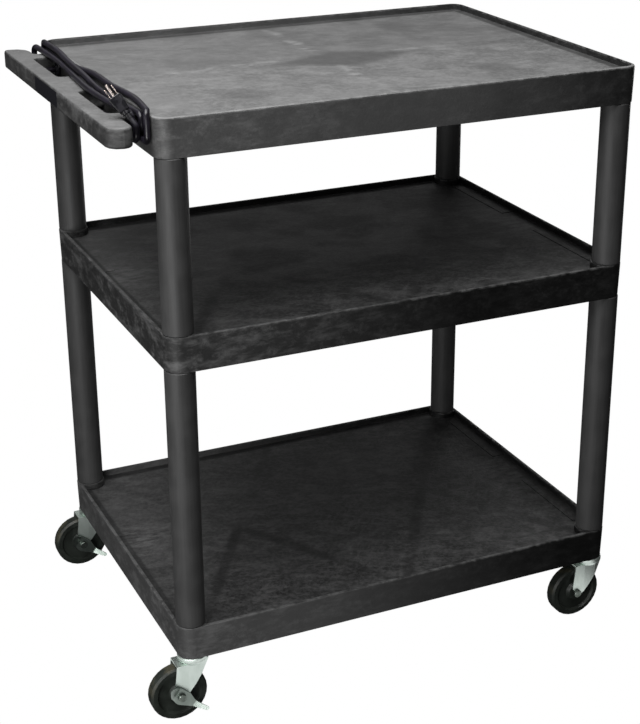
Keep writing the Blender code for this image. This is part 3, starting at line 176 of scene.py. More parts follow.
class Pattern:
    """A material in the making: its shader, and masks and colours in the cart's own metres."""

    def __init__(self, name: str, **constants: float) -> None:
        """Start the material and read the place and the facing of the surface.

        Args:
            name: Name of the material.
            constants: Shader inputs that are the same all over, with _ for each space of their names.
        """
        self.made = bpy.data.materials.new(name)
        self.made.use_nodes = True
        self.tree = self.made.node_tree
        self.shader = self.tree.nodes["Principled BSDF"]
        for key, value in constants.items():
            self.shader.inputs[key.replace("_", " ")].default_value = value
        self.place = add_node(self.tree, "ShaderNodeTexCoord").outputs["Object"]
        normal = add_node(self.tree, "ShaderNodeNewGeometry").outputs["Normal"]
        along, facing = (add_node(self.tree, "ShaderNodeSeparateXYZ", {0: vector}).outputs
                         for vector in (self.place, normal))
        self.x, self.y, self.z = (Mask(self.tree, part) for part in along)
        self.facing_x, _, self.facing_z = (Mask(self.tree, part) for part in facing)

    def away(self, point: Point, **own: Mask) -> Socket:
        """Distance from a point, along the axes that are named with the surface's own place on them."""
        flat = add_node(self.tree, "ShaderNodeCombineXYZ", {key.upper(): mask for key, mask in own.items()})
        return add_node(self.tree, "ShaderNodeVectorMath", {0: flat.outputs[0], 1: point},
                        operation="DISTANCE").outputs["Value"]

    def grade(self, value: Mask | Socket, low: float, high: float, start: float = 0.0, end: float = 1.0,
              origin: float = 0.0) -> Mask:
        """Ease from start to end while the value goes from low to high, which the origin shifts."""
        eased = add_node(self.tree, "ShaderNodeMapRange",
                         {0: value, 1: origin + low, 2: origin + high, 3: start, 4: end},
                         interpolation_type="SMOOTHSTEP")
        return Mask(self.tree, eased.outputs[0])

    def rough(self, mask: Mask, base: float, spread: Span) -> Mask:
        """Roughness round its base, by the spread at no mask and at full mask."""
        return self.grade(mask, 0.0, 1.0, base + spread[0], base + spread[1])

    def near(self, value: Mask, middle: float, half: float, soft: float, origin: float = 0.0) -> Mask:
        """One where the value is within half of the middle, which the origin shifts, and gone soft beyond."""
        return self.grade(abs(value - (origin + middle)), half, half + soft, 1.0, 0.0)

    def line(self, start: Span, end: Span, half: float, soft: float) -> Mask:
        """A band along the infinite line through two points of the plan.

        Args:
            start: First point, along and across the cart.
            end: Second point.
            half: Half of its full width.
            soft: Width of its fading edge.

        Returns:
            The mask.
        """
        run_x, run_y = end[0] - start[0], end[1] - start[1]
        length = math.hypot(run_x, run_y)
        aside = (self.x - start[0]) * (run_y / length) - (self.y - start[1]) * (run_x / length)
        return self.near(aside, 0.0, half, soft)

    def spots(self, marks: tuple[Spot, ...]) -> Mask:
        """Round marks on the plan, each at its own strength.

        Args:
            marks: The marks.

        Returns:
            The mask.
        """
        total: Mask | float = 0.0
        for mark in marks:
            away = self.away((PLAN_SHIFT + mark.along, mark.across, 0.0), x=self.x, y=self.y)
            total = self.grade(away, mark.radius, mark.radius + mark.soft, 1.0, 0.0) * mark.strength | total
        return total

    def clouds(self, kind: Clouds) -> Mask:
        """Lay soft irregular patches over the surface.

        Args:
            kind: The set of patches.

        Returns:
            The mask.
        """
        shift, turn = (kind.seed * part for part in SEED_SHIFT), (0.0, 0.0, math.radians(kind.turn))
        turned = add_node(self.tree, "ShaderNodeMapping",
                          {"Vector": self.place, "Location": tuple(shift), "Rotation": turn},
                          vector_type="POINT")
        drawn = add_node(self.tree, "ShaderNodeVectorMath",
                         {0: turned.outputs[0], 1: tuple(1.0 / times for times in kind.stretch)},
                         operation="MULTIPLY")
        noise = add_node(self.tree, "ShaderNodeTexNoise",
                         {"Vector": drawn.outputs[0], "Scale": MM_PER_METRE / kind.size_mm,
                          "Detail": kind.detail, "Roughness": kind.grain})
        return self.grade(noise.outputs[0], kind.low, kind.high)

    def tint(self, share: Mask | float, below: Socket | str, above: Socket | str) -> Socket:
        """Blend from the colour below to the one above by the share, each a socket or in sRGB hex."""
        first, second = (linear(colour) if isinstance(colour, str) else colour for colour in (below, above))
        return add_node(self.tree, "ShaderNodeMix", {0: share, 6: first, 7: second},
                        data_type="RGBA").outputs[2]

    def finish(self, colour: Socket, rough: Mask, *layers: tuple[Mask, float]) -> bpy.types.Material:
        """Feed the shader with its colour, its roughness and a bump of real depths.

        Args:
            colour: The colour.
            rough: The roughness.
            layers: Height masks, each with its depth in millimetres.

        Returns:
            The material.
        """
        total: Mask | float = 0.0
        for mask, depth_mm in layers:
            total = mask * (depth_mm / MM_PER_METRE) + total
        bump = add_node(self.tree, "ShaderNodeBump", {"Strength": 1.0, "Distance": 1.0, "Height": total})
        feeds = {"Base Color": colour, "Roughness": rough.socket, "Normal": bump.outputs[0]}
        for name, socket in feeds.items():
            self.tree.links.new(socket, self.shader.inputs[name])
        return self.made


@dataclass(frozen=True)
class HandlePanel:
    """A bare dark panel on the handle's outer face, a little glossier than the handle."""

    colour: str = "#101017"
    gloss: float = 0.14
    across: Band = (0.028, 0.066, 0.0008)
    upright: Band = (1.0350, 0.0125, 0.0008)
    outer_x: float = -0.4630
    depth: float = 0.002

    def mask(self, pattern: Pattern) -> Mask:
        """The panel's area."""
        face = pattern.grade(pattern.x, 0.0, self.depth, 1.0, 0.0, self.outer_x)
        return pattern.near(pattern.y, *self.across) * pattern.near(pattern.z, *self.upright) * face


@dataclass(frozen=True)
class RibMarks:
    """What the ribs below leave on the top deck: dark rounds, a dark lens, a dark end patch and pale seams.

    Places along the cart are from the deck's middle. The seams wander by a few millimetres.
    """

    dark: str = "#3c3c3c"
    dark_strength: float = 0.72
    pale_strength: float = 0.60
    rounds: tuple[Spot, ...] = (Spot(-0.230, -0.185), Spot(0.232, 0.207), Spot(0.232, -0.178))
    lens_middle: Span = (0.024, -0.003)
    lens_slope: float = 0.42
    lens_edge: Span = (0.040, 0.082)
    end_along: Band = (0.355, 0.025, 0.040)
    end_across: Band = (0.0, 0.006, 0.020)
    end_strength: float = 0.5
    cross_seam: Band = (-0.004, 0.002, 0.014)
    long_seam: Band = (0.012, 0.003, 0.016)
    long_seam_reach: Band = (-0.06, 0.24, 0.10)
    wander: float = 0.007
    wandering: Clouds = Clouds(120.0, 0.3, 0.7, detail=2.0, seed=23.0)
    patchy: Clouds = Clouds(26.0, 0.44, 0.66, detail=6.0, stretch=(1.8, 1.0, 1.0), seed=21.0, grain=0.7)

    def add(self, pattern: Pattern, colour: Socket, upward: Mask, scuff: str) -> Socket:
        """Add the marks to the deck's colour.

        Args:
            pattern: The material in the making.
            colour: Colour so far.
            upward: Mask of the faces that look up.
            scuff: Colour of the seams.

        Returns:
            The colour with its marks.
        """
        away_x = abs(pattern.x - (PLAN_SHIFT + self.lens_middle[0]))
        away_y = abs(pattern.y - self.lens_middle[1])
        lens = pattern.grade(away_x * self.lens_slope + away_y, *self.lens_edge, 1.0, 0.0)
        end_patch = (pattern.near(pattern.x, *self.end_along, origin=PLAN_SHIFT)
                     * pattern.near(pattern.y, *self.end_across))
        dark = (pattern.spots(self.rounds) | lens | end_patch * self.end_strength) * upward
        colour = pattern.tint(dark * self.dark_strength, colour, self.dark)
        wander = pattern.grade(pattern.clouds(self.wandering), 0.0, 1.0, -self.wander, self.wander)
        cross = pattern.near(pattern.x + wander, *self.cross_seam, origin=PLAN_SHIFT)
        along = (pattern.near(pattern.y + wander, *self.long_seam)
                 * pattern.near(pattern.x, *self.long_seam_reach, origin=PLAN_SHIFT))
        pale = (cross | along) * pattern.clouds(self.patchy) * (upward - lens)
        return pattern.tint(pale * self.pale_strength, colour, scuff)


@dataclass(frozen=True)
class MouldedPolyethylene:
    """Foam-moulded black polyethylene: dull, finely pebbled, with pale rub marks and cloudy patches.

    The eye reads it by its soft wide sheen, by the paler faces that look up, partly dust and partly painted
    light, and by scuffs.
    Painted light and shade are in its colour too: a light falloff along the cart and across the deck, and
    shade inside the lips, on the handle, on the end skirt and along the deck's border.
    The shares and strengths that a shelf doesn't give are the middle shelf's.
    """

    name: str
    clean: str
    side: str
    body: str
    cloudy: str
    scuff: str
    rim_height: float
    half_length: float
    half_width: float
    sink: str = "#0c0c0c"
    specular: float = 0.35
    roughness: float = 0.52
    spread: Span = (-0.05, 0.07)
    looks_up: Span = (0.6, 0.9)
    # Dust in broad patches and in fine specks, and a paler tone towards one corner that is a painted light
    # falloff.
    dust_and_light_shares: tuple[float, float, float] = (0.32, 0.62, 0.42)
    deck_light_lean: float = -0.8
    deck_light_span: Span = (-0.60, 0.10)
    # Where given, specks and mottling thin out towards the far side, darkening it: a painted light falloff.
    speck_fade: Fade | None = None
    mottle: float = 0.24
    mottle_fade: Fade | None = None
    # The handle stands out beyond the end skirt. Its top is wiped cleaner; its upright faces get painted
    # shade.
    grip_from: Span = (-0.008, -0.003)
    grip_clean: float = 0.12
    grip_shade: float = 0.68
    # Upright faces: lighter towards the handle end, a painted light falloff, and painted shade inside the lips
    # and on the end skirt.
    skirt_light_span: Span = (-0.30, 0.20)
    patch_share: float = 0.15
    lip_inset: Span = (0.009, 0.002)
    lip_shade: float = 0.62
    end_shade: Fade = (-0.9, -0.5, 0.36, 0.0)
    # Pale rubbing of the skirts, fading away from the handle end, partly real wear and partly a painted light
    # falloff;
    # and a pale band on the rim's top edge, partly wear and partly a painted highlight.
    skirt_rub_and_light: float = 0.62
    rub_and_light_fade: Fade = (-0.40, 0.10, 1.0, 0.10)
    edge_wear_and_highlight: float = 0.4
    edge_band: Band = (-0.0012, 0.0010, 0.0018)
    smear_strength: float = 0.40
    smear_least: float = 0.35
    # The ribs' lines cross the deck from its middle to this share of its length at either side.
    diagonal_share: float = 0.46
    sink_strength: float = 0.45
    sink_width: Span = (0.004, 0.012)
    sink_least: float = 0.35
    sink_fade: Fade = (0.0, 0.14, 1.0, 0.35)
    # Painted shade on the deck's border beside the lips, measured from the outer faces and down from the rim.
    border_along: Span = (0.024, 0.006)
    border_across: Span = (0.027, 0.008)
    border_fade: Fade = (-0.010, -0.008, 0.60, 0.0)
    border_start: float = 0.004
    end_scuffs: tuple[Spot, ...] = (Spot(-0.385, 0.035, 0.010, 0.085, 0.55),
                                    Spot(0.385, -0.020, 0.010, 0.100, 0.40))
    ribs: RibMarks | None = None
    panel: HandlePanel | None = None
    patches: Clouds = Clouds(95.0, 0.36, 0.64, detail=4.0)
    # The real grain is about 1 mm, drawn coarser because a pixel covers 1.7 mm.
    pebble: Clouds = Clouds(4.5, 0.36, 0.64, detail=2.0, seed=1.0)
    fine: Clouds = Clouds(1.6, 0.3, 0.7, detail=1.0, seed=2.0)
    wavy: Clouds = Clouds(60.0, 0.3, 0.7, detail=2.0, seed=4.0)
    depths_mm: tuple[float, float, float] = (0.10, 0.03, 0.25)
    mottled: Clouds = Clouds(26.0, 0.45, 0.66, detail=5.0, stretch=(1.5, 1.0, 1.0), turn=20.0, seed=50.0,
                             grain=0.66)
    specks: Clouds = Clouds(7.5, 0.43, 0.60, seed=61.0, grain=0.62)
    # Smears: width in millimetres, length in widths, turn and seed of the strokes in each direction.
    strokes: tuple[tuple[float, float, float, float], ...] = (
        (16.0, 3.6, 8.0, 5.0), (14.0, 3.0, -50.0, 9.0), (13.0, 4.0, 35.0, 16.0))
    brushed: Clouds = Clouds(16.0, 0.46, 0.72, detail=8.0, grain=0.80)
    gathered: Clouds = Clouds(140.0, 0.42, 0.64, detail=2.0, seed=12.0)
    level_rub: Clouds = Clouds(26.0, 0.47, 0.70, detail=7.0, stretch=(2.8, 2.8, 1.0), seed=30.0, grain=0.72)
    short_rub: Clouds = Clouds(20.0, 0.49, 0.72, detail=6.0, stretch=(1.4, 1.4, 1.0), seed=33.0, grain=0.72)
    edge_breaks: Clouds = Clouds(14.0, seed=40.0)
    broken: Clouds = Clouds(70.0, high=0.6, seed=3.0)
    scuffed: Clouds = Clouds(12.0, 0.40, 0.64, detail=5.0, stretch=(2.5, 1.0, 1.0), seed=71.0, grain=0.66)

    @property
    def end_x(self) -> float:
        """Place of the skirt's outer face at the handle end."""
        return PLAN_SHIFT - self.half_length

    def material(self) -> bpy.types.Material:
        """Build the node material.

        Returns:
            The material.
        """
        pattern = Pattern(self.name, Specular_IOR_Level=self.specular)
        upward = pattern.grade(pattern.facing_z, *self.looks_up)
        patches = pattern.clouds(self.patches)
        grip = pattern.grade(pattern.x, *self.grip_from, 1.0, 0.0, self.end_x)
        colour = pattern.tint(upward, self.upright_colour(pattern, patches, grip),
                              self.deck_colour(pattern, patches, grip))
        smears = self.smears(pattern) * pattern.grade(upward, 0.0, 1.0, self.smear_least, 1.0)
        colour = pattern.tint(smears, colour, self.scuff)
        colour = pattern.tint(self.rubs_and_painted_light(pattern, upward), colour, self.scuff)
        colour = pattern.tint(self.sink_lines(pattern) * upward * self.sink_strength, colour, self.sink)
        if self.ribs:
            colour = self.ribs.add(pattern, colour, upward, self.scuff)
        else:
            scuffs = pattern.spots(self.end_scuffs) * pattern.clouds(self.scuffed)
            colour = pattern.tint(scuffs * upward, colour, self.scuff)
        # Painted shade along the deck beside the lips.
        colour = pattern.tint(self.shaded_border(pattern, upward), colour, self.clean)
        rough = pattern.rough(patches, self.roughness, self.spread)
        if self.panel:
            mask = self.panel.mask(pattern)
            colour = pattern.tint(mask, colour, self.panel.colour)
            rough = rough - mask * self.panel.gloss
        layers = [pattern.clouds(kind) for kind in (self.pebble, self.fine, self.wavy)]
        return pattern.finish(colour, rough, *zip(layers, self.depths_mm))

    def deck_colour(self, pattern: Pattern, patches: Mask, grip: Mask) -> Socket:
        """Colour of the faces that look up: dust and mottling over the body, painted light falloff across the
        deck, and the handle wiped clean.

        Args:
            pattern: The material in the making.
            patches: Broad patches.
            grip: Mask of the handle.

        Returns:
            The colour.
        """
        in_patches, to_corner, in_specks = self.dust_and_light_shares
        # Paler towards one corner: a painted light falloff across the deck.
        lean = pattern.x + pattern.y * self.deck_light_lean
        corner = pattern.grade(lean, *self.deck_light_span, to_corner, 0.0, PLAN_SHIFT)
        specks, mottled = pattern.clouds(self.specks), pattern.clouds(self.mottled)
        # Fewer specks and less mottling towards the far side: a painted light falloff.
        if self.speck_fade:
            specks = specks * pattern.grade(pattern.y, *self.speck_fade)
        if self.mottle_fade:
            mottled = mottled * pattern.grade(pattern.y, *self.mottle_fade)
        colour = pattern.tint(patches * in_patches + corner + specks * in_specks, self.body, self.cloudy)
        colour = pattern.tint(mottled * self.mottle, colour, self.scuff)
        return pattern.tint(grip * self.grip_clean, colour, self.clean)

    def upright_colour(self, pattern: Pattern, patches: Mask, grip: Mask) -> Socket:
        """Colour of the upright faces: lighter towards the handle end, a painted light falloff, and painted
        shade within the lips, on the grip and on the end skirt.

        Args:
            pattern: The material in the making.
            patches: Broad patches.
            grip: Mask of the handle.

        Returns:
            The colour.
        """
        # Painted light falloff: lighter towards the handle end.
        painted_skirt_light = pattern.grade(pattern.x, *self.skirt_light_span, 1.0, 0.0, PLAN_SHIFT)
        colour = pattern.tint(painted_skirt_light, self.clean, self.side)
        colour = pattern.tint(patches * self.patch_share, colour, self.body)
        # Painted shade inside the lips, on the handle's upright faces and on faces that look to the handle
        # end.
        inside = self.inner(pattern, self.lip_inset, self.lip_inset)
        end_face = pattern.grade(pattern.facing_x, *self.end_shade)
        return pattern.tint(inside * self.lip_shade | grip * self.grip_shade | end_face, colour, self.clean)

    def inner(self, pattern: Pattern, along: Span, across: Span) -> Mask:
        """The plan inside the outer faces, by its inset and fading edge along and across the cart."""
        return (pattern.near(pattern.x, PLAN_SHIFT, self.half_length - along[0], along[1])
                * pattern.near(pattern.y, 0.0, self.half_width - across[0], across[1]))

    def smears(self, pattern: Pattern) -> Mask:
        """Soft brushed smears in a few directions, broken up by the grain and gathered in places.

        Args:
            pattern: The material in the making.

        Returns:
            The mask.
        """
        total: Mask | float = 0.0
        for width_mm, length, turn, seed in self.strokes:
            stroke = replace(self.brushed, size_mm=width_mm, stretch=(length, 1.0, 1.0), turn=turn, seed=seed)
            where = replace(self.gathered, seed=seed + self.gathered.seed)
            total = pattern.clouds(stroke) * pattern.clouds(where) | total
        return total * self.smear_strength

    def rubs_and_painted_light(self, pattern: Pattern, upward: Mask) -> Mask:
        """Pale rubbing along the skirts, heaviest towards the handle end, partly real wear and partly a
        painted light falloff, and a pale band along the rim's top edge, partly wear and partly a painted
        highlight.

        Args:
            pattern: The material in the making.
            upward: Mask of the faces that look up.

        Returns:
            The mask.
        """
        # The skirts' rubbing fades away from the handle end: partly wear, partly a painted light falloff.
        fading = pattern.grade(pattern.x, *self.rub_and_light_fade, PLAN_SHIFT)
        rub_and_light = (pattern.clouds(self.level_rub) | pattern.clouds(self.short_rub)) * (fading * (1.0 - upward))
        # The pale band on the rim's top edge: partly wear, partly a painted highlight.
        edge = pattern.near(pattern.z, *self.edge_band, origin=self.rim_height)
        return rub_and_light * self.skirt_rub_and_light | edge * pattern.clouds(self.edge_breaks) * self.edge_wear_and_highlight

    def sink_lines(self, pattern: Pattern) -> Mask:
        """Shallow sink lines where the ribs below the deck cross it.

        Args:
            pattern: The material in the making.

        Returns:
            The mask.
        """
        reach = self.half_length * self.diagonal_share * 2.0
        total: Mask | float = 0.0
        for side, end in ((-1, -1), (-1, 1), (1, -1), (1, 1)):
            start = (PLAN_SHIFT, -end * self.half_width)
            stop = (PLAN_SHIFT + side * reach, end * self.half_width)
            total = pattern.line(start, stop, *self.sink_width) | total
        broken = pattern.grade(pattern.clouds(self.broken), 0.0, 1.0, self.sink_least, 1.0)
        return total * broken * pattern.grade(pattern.y, *self.sink_fade)

    def shaded_border(self, pattern: Pattern, upward: Mask) -> Mask:
        """Painted shade on the band of deck beside the lips: darker there, over any rubbing."""
        beyond = 1.0 - self.inner(pattern, self.border_along, self.border_across)
        return (beyond * pattern.grade(pattern.z, *self.border_fade, self.rim_height)
                * pattern.grade(pattern.x, 0.0, self.border_start, origin=self.end_x) * upward)


@dataclass(frozen=True)
class ExtrudedLegTube:
    """Black polyethylene tube: smooth and satin, with faint lines along its length."""

    name: str = "satin_black_polyethylene_tube"
    body: str = "#383838"
    dusty: str = "#444444"
    share: float = 0.4
    roughness: float = 0.55
    spread: Span = (-0.03, 0.05)
    drawn: Clouds = Clouds(3.0, detail=2.0, stretch=(1.0, 1.0, 30.0))
    dust: Clouds = Clouds(45.0, 0.4, 0.65, seed=7.0)
    pebble: Clouds = Clouds(2.4, 0.3, 0.7, detail=2.0, seed=1.0)
    depth_mm: float = 0.02

    def material(self) -> bpy.types.Material:
        """Build the node material.

        Returns:
            The material.
        """
        pattern = Pattern(self.name)
        drawn, dust = pattern.clouds(self.drawn), pattern.clouds(self.dust)
        colour = pattern.tint(drawn * self.share + dust * self.share, self.body, self.dusty)
        rough = pattern.rough(dust, self.roughness, self.spread)
        return pattern.finish(colour, rough, (pattern.clouds(self.pebble), self.depth_mm),
                              (drawn, self.depth_mm))


@dataclass(frozen=True)
class ZincPlate:
    """Bright zinc on pressed steel: a pale metal with a cool green cast and a soft even gloss."""

    name: str = "bright_zinc_plated_steel"
    bright: str = "#dfe9e3"
    dull: str = "#d0dbd4"
    roughness: float = 0.42
    spread: Span = (-0.03, 0.05)
    spangle: Clouds = Clouds(22.0, 0.30, 0.70, detail=2.0, stretch=(1.0, 1.0, 2.5))
    rolled: Clouds = Clouds(2.0, detail=2.0, stretch=(1.0, 1.0, 12.0), seed=4.0)
    spangle_depth_mm: float = 0.01
    rolled_depth_mm: float = 0.004

    def material(self) -> bpy.types.Material:
        """Build the node material.

        Returns:
            The material.
        """
        pattern = Pattern(self.name, Metallic=1.0)
        spangle, rolled = pattern.clouds(self.spangle), pattern.clouds(self.rolled)
        rough = pattern.rough((spangle + rolled) * 0.5, self.roughness, self.spread)
        return pattern.finish(pattern.tint(spangle, self.bright, self.dull), rough,
                              (rolled, self.rolled_depth_mm), (spangle, self.spangle_depth_mm))


# The brake's pressed pieces: the same zinc, duller where feet and dirt have worked on it.
WORN_ZINC = ZincPlate("worn_zinc_plated_steel", "#a4ada7", "#7f8882", 0.36)


@dataclass(frozen=True)
class HardRubberWheel:
    """Moulded hard rubber: near black with a green-grey bloom, and a tread rubbed brown above the axle."""

    corner: Corner
    body: str = "#1e221e"
    bloom: str = "#2a2f2a"
    rubbed: str = "#4c4838"
    rubbed_share: float = 0.6
    rubbed_above: Span = (-0.010, 0.025)
    tread_from: Span = (0.0466, 0.0490)
    roughness: float = 0.5
    spread: Span = (-0.08, 0.12)
    patches: Clouds = Clouds(30.0, 0.25, 0.75, detail=2.0)
    dirt: Clouds = Clouds(24.0, 0.44, 0.62, seed=2.0)
    grain: Clouds = Clouds(1.8, 0.3, 0.7, detail=2.0, seed=1.0)
    grain_depth_mm: float = 0.03

    def material(self) -> bpy.types.Material:
        """Build the node material.

        Returns:
            The material.
        """
        pattern = Pattern(f"moulded_hard_rubber_{self.corner.value}")
        away = pattern.away((self.corner.along - AXLE_TRAIL, 0.0, AXLE_HEIGHT), x=pattern.x, z=pattern.z)
        patches = pattern.clouds(self.patches)
        above = pattern.grade(pattern.z, *self.rubbed_above, origin=AXLE_HEIGHT)
        tread = pattern.grade(away, *self.tread_from) * above * pattern.clouds(self.dirt)
        colour = pattern.tint(patches, self.body, self.bloom)
        colour = pattern.tint(tread * self.rubbed_share, colour, self.rubbed)
        rough = pattern.rough(patches, self.roughness, self.spread)
        return pattern.finish(colour, rough, (pattern.clouds(self.grain), self.grain_depth_mm))


@dataclass(frozen=True)
class PlainFinish:
    """A small piece's finish: one body colour with a duller patchy one over it, and a fine grain."""

    name: str
    body: str
    dull: str
    roughness: float
    metallic: float = 0.0
    patch_mm: float = 8.0
    grain_mm: float = 1.5
    grain_depth_mm: float = 0.02
    spread: Span = (-0.04, 0.08)

    def material(self) -> bpy.types.Material:
        """Build the node material.

        Returns:
            The material.
        """
        pattern = Pattern(self.name, Metallic=self.metallic)
        patches = pattern.clouds(Clouds(self.patch_mm))
        grain = pattern.clouds(Clouds(self.grain_mm, 0.3, 0.7, detail=2.0, seed=1.0))
        colour = pattern.tint(patches, self.body, self.dull)
        rough = pattern.rough(patches, self.roughness, self.spread)
        return pattern.finish(colour, rough, (grain, self.grain_depth_mm))


# Extruded flexible jacket: dark with a violet-grey cast, its long highlights a little soft.
CORD_JACKET = PlainFinish("extruded_flexible_vinyl_jacket", "#131117", "#201d27", 0.33, patch_mm=14.0)
# Moulded vinyl of the plug and its strain relief: black and slightly glossy.
PLUG_VINYL = PlainFinish("moulded_vinyl_plug", "#101014", "#1a191f", 0.27, patch_mm=10.0)
# Nickel-plated brass of the contacts: bright and warm, nearly a mirror.
NICKEL_CONTACT = PlainFinish("nickel_plated_brass", "#f2e6e0", "#d8c8c0", 0.16, 1.0, patch_mm=5.0)
# Turned and plated steel of bolts, nuts and sleeves: grey, with fine tool marks.
PLATED_STEEL = PlainFinish("zinc_plated_turned_steel", "#7d847e", "#5e655f", 0.34, 1.0, grain_mm=0.8)
# Moulded nylon of inserts and outlet pieces: black and slightly dusty.
MOULDED_NYLON = PlainFinish("moulded_nylon", "#1b1b1b", "#292929", 0.45)


class EdgeShading:
    """Shared smooth shading of faceted CAD pieces: joined points, smooth curves and crisp corners."""

    joined_within = 0.00001
    bevel_angle = math.radians(35.0)
    bevel_steps = 2
    flat_weight = 80

    def __init__(self, angle: float) -> None:
        """Make the modifier group that keeps only corners sharper than the angle.

        Args:
            angle: Sharpest angle between two facets of one curve, in degrees.
        """
        group = bpy.data.node_groups.new(f"smooth_below_{angle:.0f}_degrees", "GeometryNodeTree")
        group.interface.new_socket("Geometry", in_out="INPUT", socket_type="NodeSocketGeometry")
        group.interface.new_socket("Geometry", in_out="OUTPUT", socket_type="NodeSocketGeometry")
        source = add_node(group, "NodeGroupInput").outputs[0]
        bend = add_node(group, "GeometryNodeInputMeshEdgeAngle").outputs[0]
        gentle = add_node(group, "FunctionNodeCompare", {0: bend, 1: math.radians(angle)}, data_type="FLOAT",
                          operation="LESS_EQUAL").outputs[0]
        faces = add_node(group, "GeometryNodeSetShadeSmooth", {0: source, 2: True}, domain="FACE").outputs[0]
        edges = add_node(group, "GeometryNodeSetShadeSmooth", {0: faces, 2: gentle}, domain="EDGE").outputs[0]
        add_node(group, "NodeGroupOutput", {0: edges})
        self.group = group

    def apply(self, thing: bpy.types.Object, bevel: float = 0.0) -> None:
        """Shade one piece.

        Args:
            thing: The piece.
            bevel: Width of a small rounding on its corners, or nothing.
        """
        mesh = thing.data
        if "custom_normal" in mesh.attributes:
            mesh.attributes.remove(mesh.attributes["custom_normal"])
        thing.modifiers.new("joined points", "WELD").merge_threshold = self.joined_within
        if bevel:
            edge = thing.modifiers.new("broken edge", "BEVEL")
            edge.width = bevel
            edge.segments = self.bevel_steps
            edge.limit_method = "ANGLE"
            edge.angle_limit = self.bevel_angle
        thing.modifiers.new("smooth curves", "NODES").node_group = self.group
        weighted = thing.modifiers.new("flat faces stay flat", "WEIGHTED_NORMAL")
        weighted.keep_sharp = True
        weighted.weight = self.flat_weight


SHADING = EdgeShading(38.0)


def dress(names: list[str], material: bpy.types.Material, bevel: float = 0.0) -> None:
    """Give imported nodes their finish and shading.

    Args:
        names: The nodes' names.
        material: Their finish.
        bevel: Width of a small rounding on their corners, or nothing.
    """
    for name in names:
        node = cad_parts[name]
        node.data.materials.clear()
        node.data.materials.append(material)
        SHADING.apply(node, bevel)
        LOG.info("%s: %s", name, material.name)


@dataclass
class Shelves:
    """The three moulded shelves, the handle being part of the top one."""

    top_size: Span = (0.4278, 0.3188)
    size: Span = (0.4250, 0.3190)
    # One plastic for all three shelves: the top shelf's tones are painted lighter, a painted highlight of the
    # overhead light, and the lower shelves' tones darker, painted shade under the shelves above; the upright
    # tones also differ by shelf as painted light.
    top_tones: tuple[str, ...] = ("#141414", "#494949", "#505050", "#6a6a6a", "#8c8c8c")
    middle_tones: tuple[str, ...] = ("#060606", "#303030", "#111111", "#464646", "#727272")
    bottom_tones: tuple[str, ...] = ("#0b0b0b", "#545454", "#0b0b0b", "#464646", "#727272")

    def build(self) -> None:
        """Dress the shelves."""
        top = MouldedPolyethylene("pebbled_black_polyethylene_top", *self.top_tones, TOP_RIM, *self.top_size,
                                  specular=0.5, dust_and_light_shares=(0.45, 0.35, 0.50), deck_light_lean=0.7,
                                  deck_light_span=(-0.50, 0.50), speck_fade=(-0.03, 0.07, 1.0, 0.35),
                                  mottle=0.28, mottle_fade=(-0.02, 0.08, 1.0, 0.45), skirt_light_span=(0.0, 0.44),
                                  skirt_rub_and_light=0.34, sink_strength=0.0, ribs=RibMarks(), panel=HandlePanel())
        middle = MouldedPolyethylene("pebbled_black_polyethylene_middle", *self.middle_tones, MIDDLE_RIM,
                                     *self.size)
        bottom = MouldedPolyethylene("pebbled_black_polyethylene_bottom", *self.bottom_tones, BOTTOM_RIM,
                                     *self.size, dust_and_light_shares=(0.28, 0.62, 0.38), skirt_light_span=(-0.30, 0.36),
                                     skirt_rub_and_light=0.70, sink_strength=0.70)
        for name, finish in (("top_shelf", top), ("middle_shelf", middle), ("bottom_shelf", bottom)):
            dress([name], finish.material())


@dataclass
class Legs:
    """Eight tube legs."""

    def build(self) -> None:
        """Dress the legs."""
        tube = ExtrudedLegTube().material()
        dress([f"leg_{level}_{corner.value}" for level in ("upper", "lower") for corner in Corner], tube)


@dataclass
class Casters:
    """Four swivel casters, two of them with pedal brakes."""

    sheet_edge: float = 0.0004

    def build(self) -> None:
        """Dress the casters."""
        zinc, worn = ZincPlate().material(), WORN_ZINC.material()
        steel, nylon = PLATED_STEEL.material(), MOULDED_NYLON.material()
        for corner in Corner:
            tag = corner.value
            dress([f"caster_fork_{tag}"], zinc, self.sheet_edge)
            dress([f"caster_stem_{tag}"], zinc)
            dress([f"stem_socket_{tag}"], nylon)
            dress([f"axle_bolt_{tag}", f"axle_nut_{tag}", f"axle_sleeve_{tag}"], steel)
            dress([f"wheel_{tag}"], HardRubberWheel(corner).material())
            if corner.braked:
                dress([f"brake_cam_{tag}"], worn)
                dress([f"brake_lever_{tag}"], worn, self.sheet_edge)


@dataclass
class OutletStrip:
    """The strip that the supply cord feeds, below the top shelf."""

    def build(self) -> None:
        """Dress the strip's pieces."""
        nylon, steel = MOULDED_NYLON.material(), PLATED_STEEL.material()
        dress(["outlet_housing", "outlet_cover", *(f"outlet_receptacle_{n}" for n in (1, 2, 3))], nylon)
        dress(["outlet_screw_near", "outlet_screw_far"], steel)


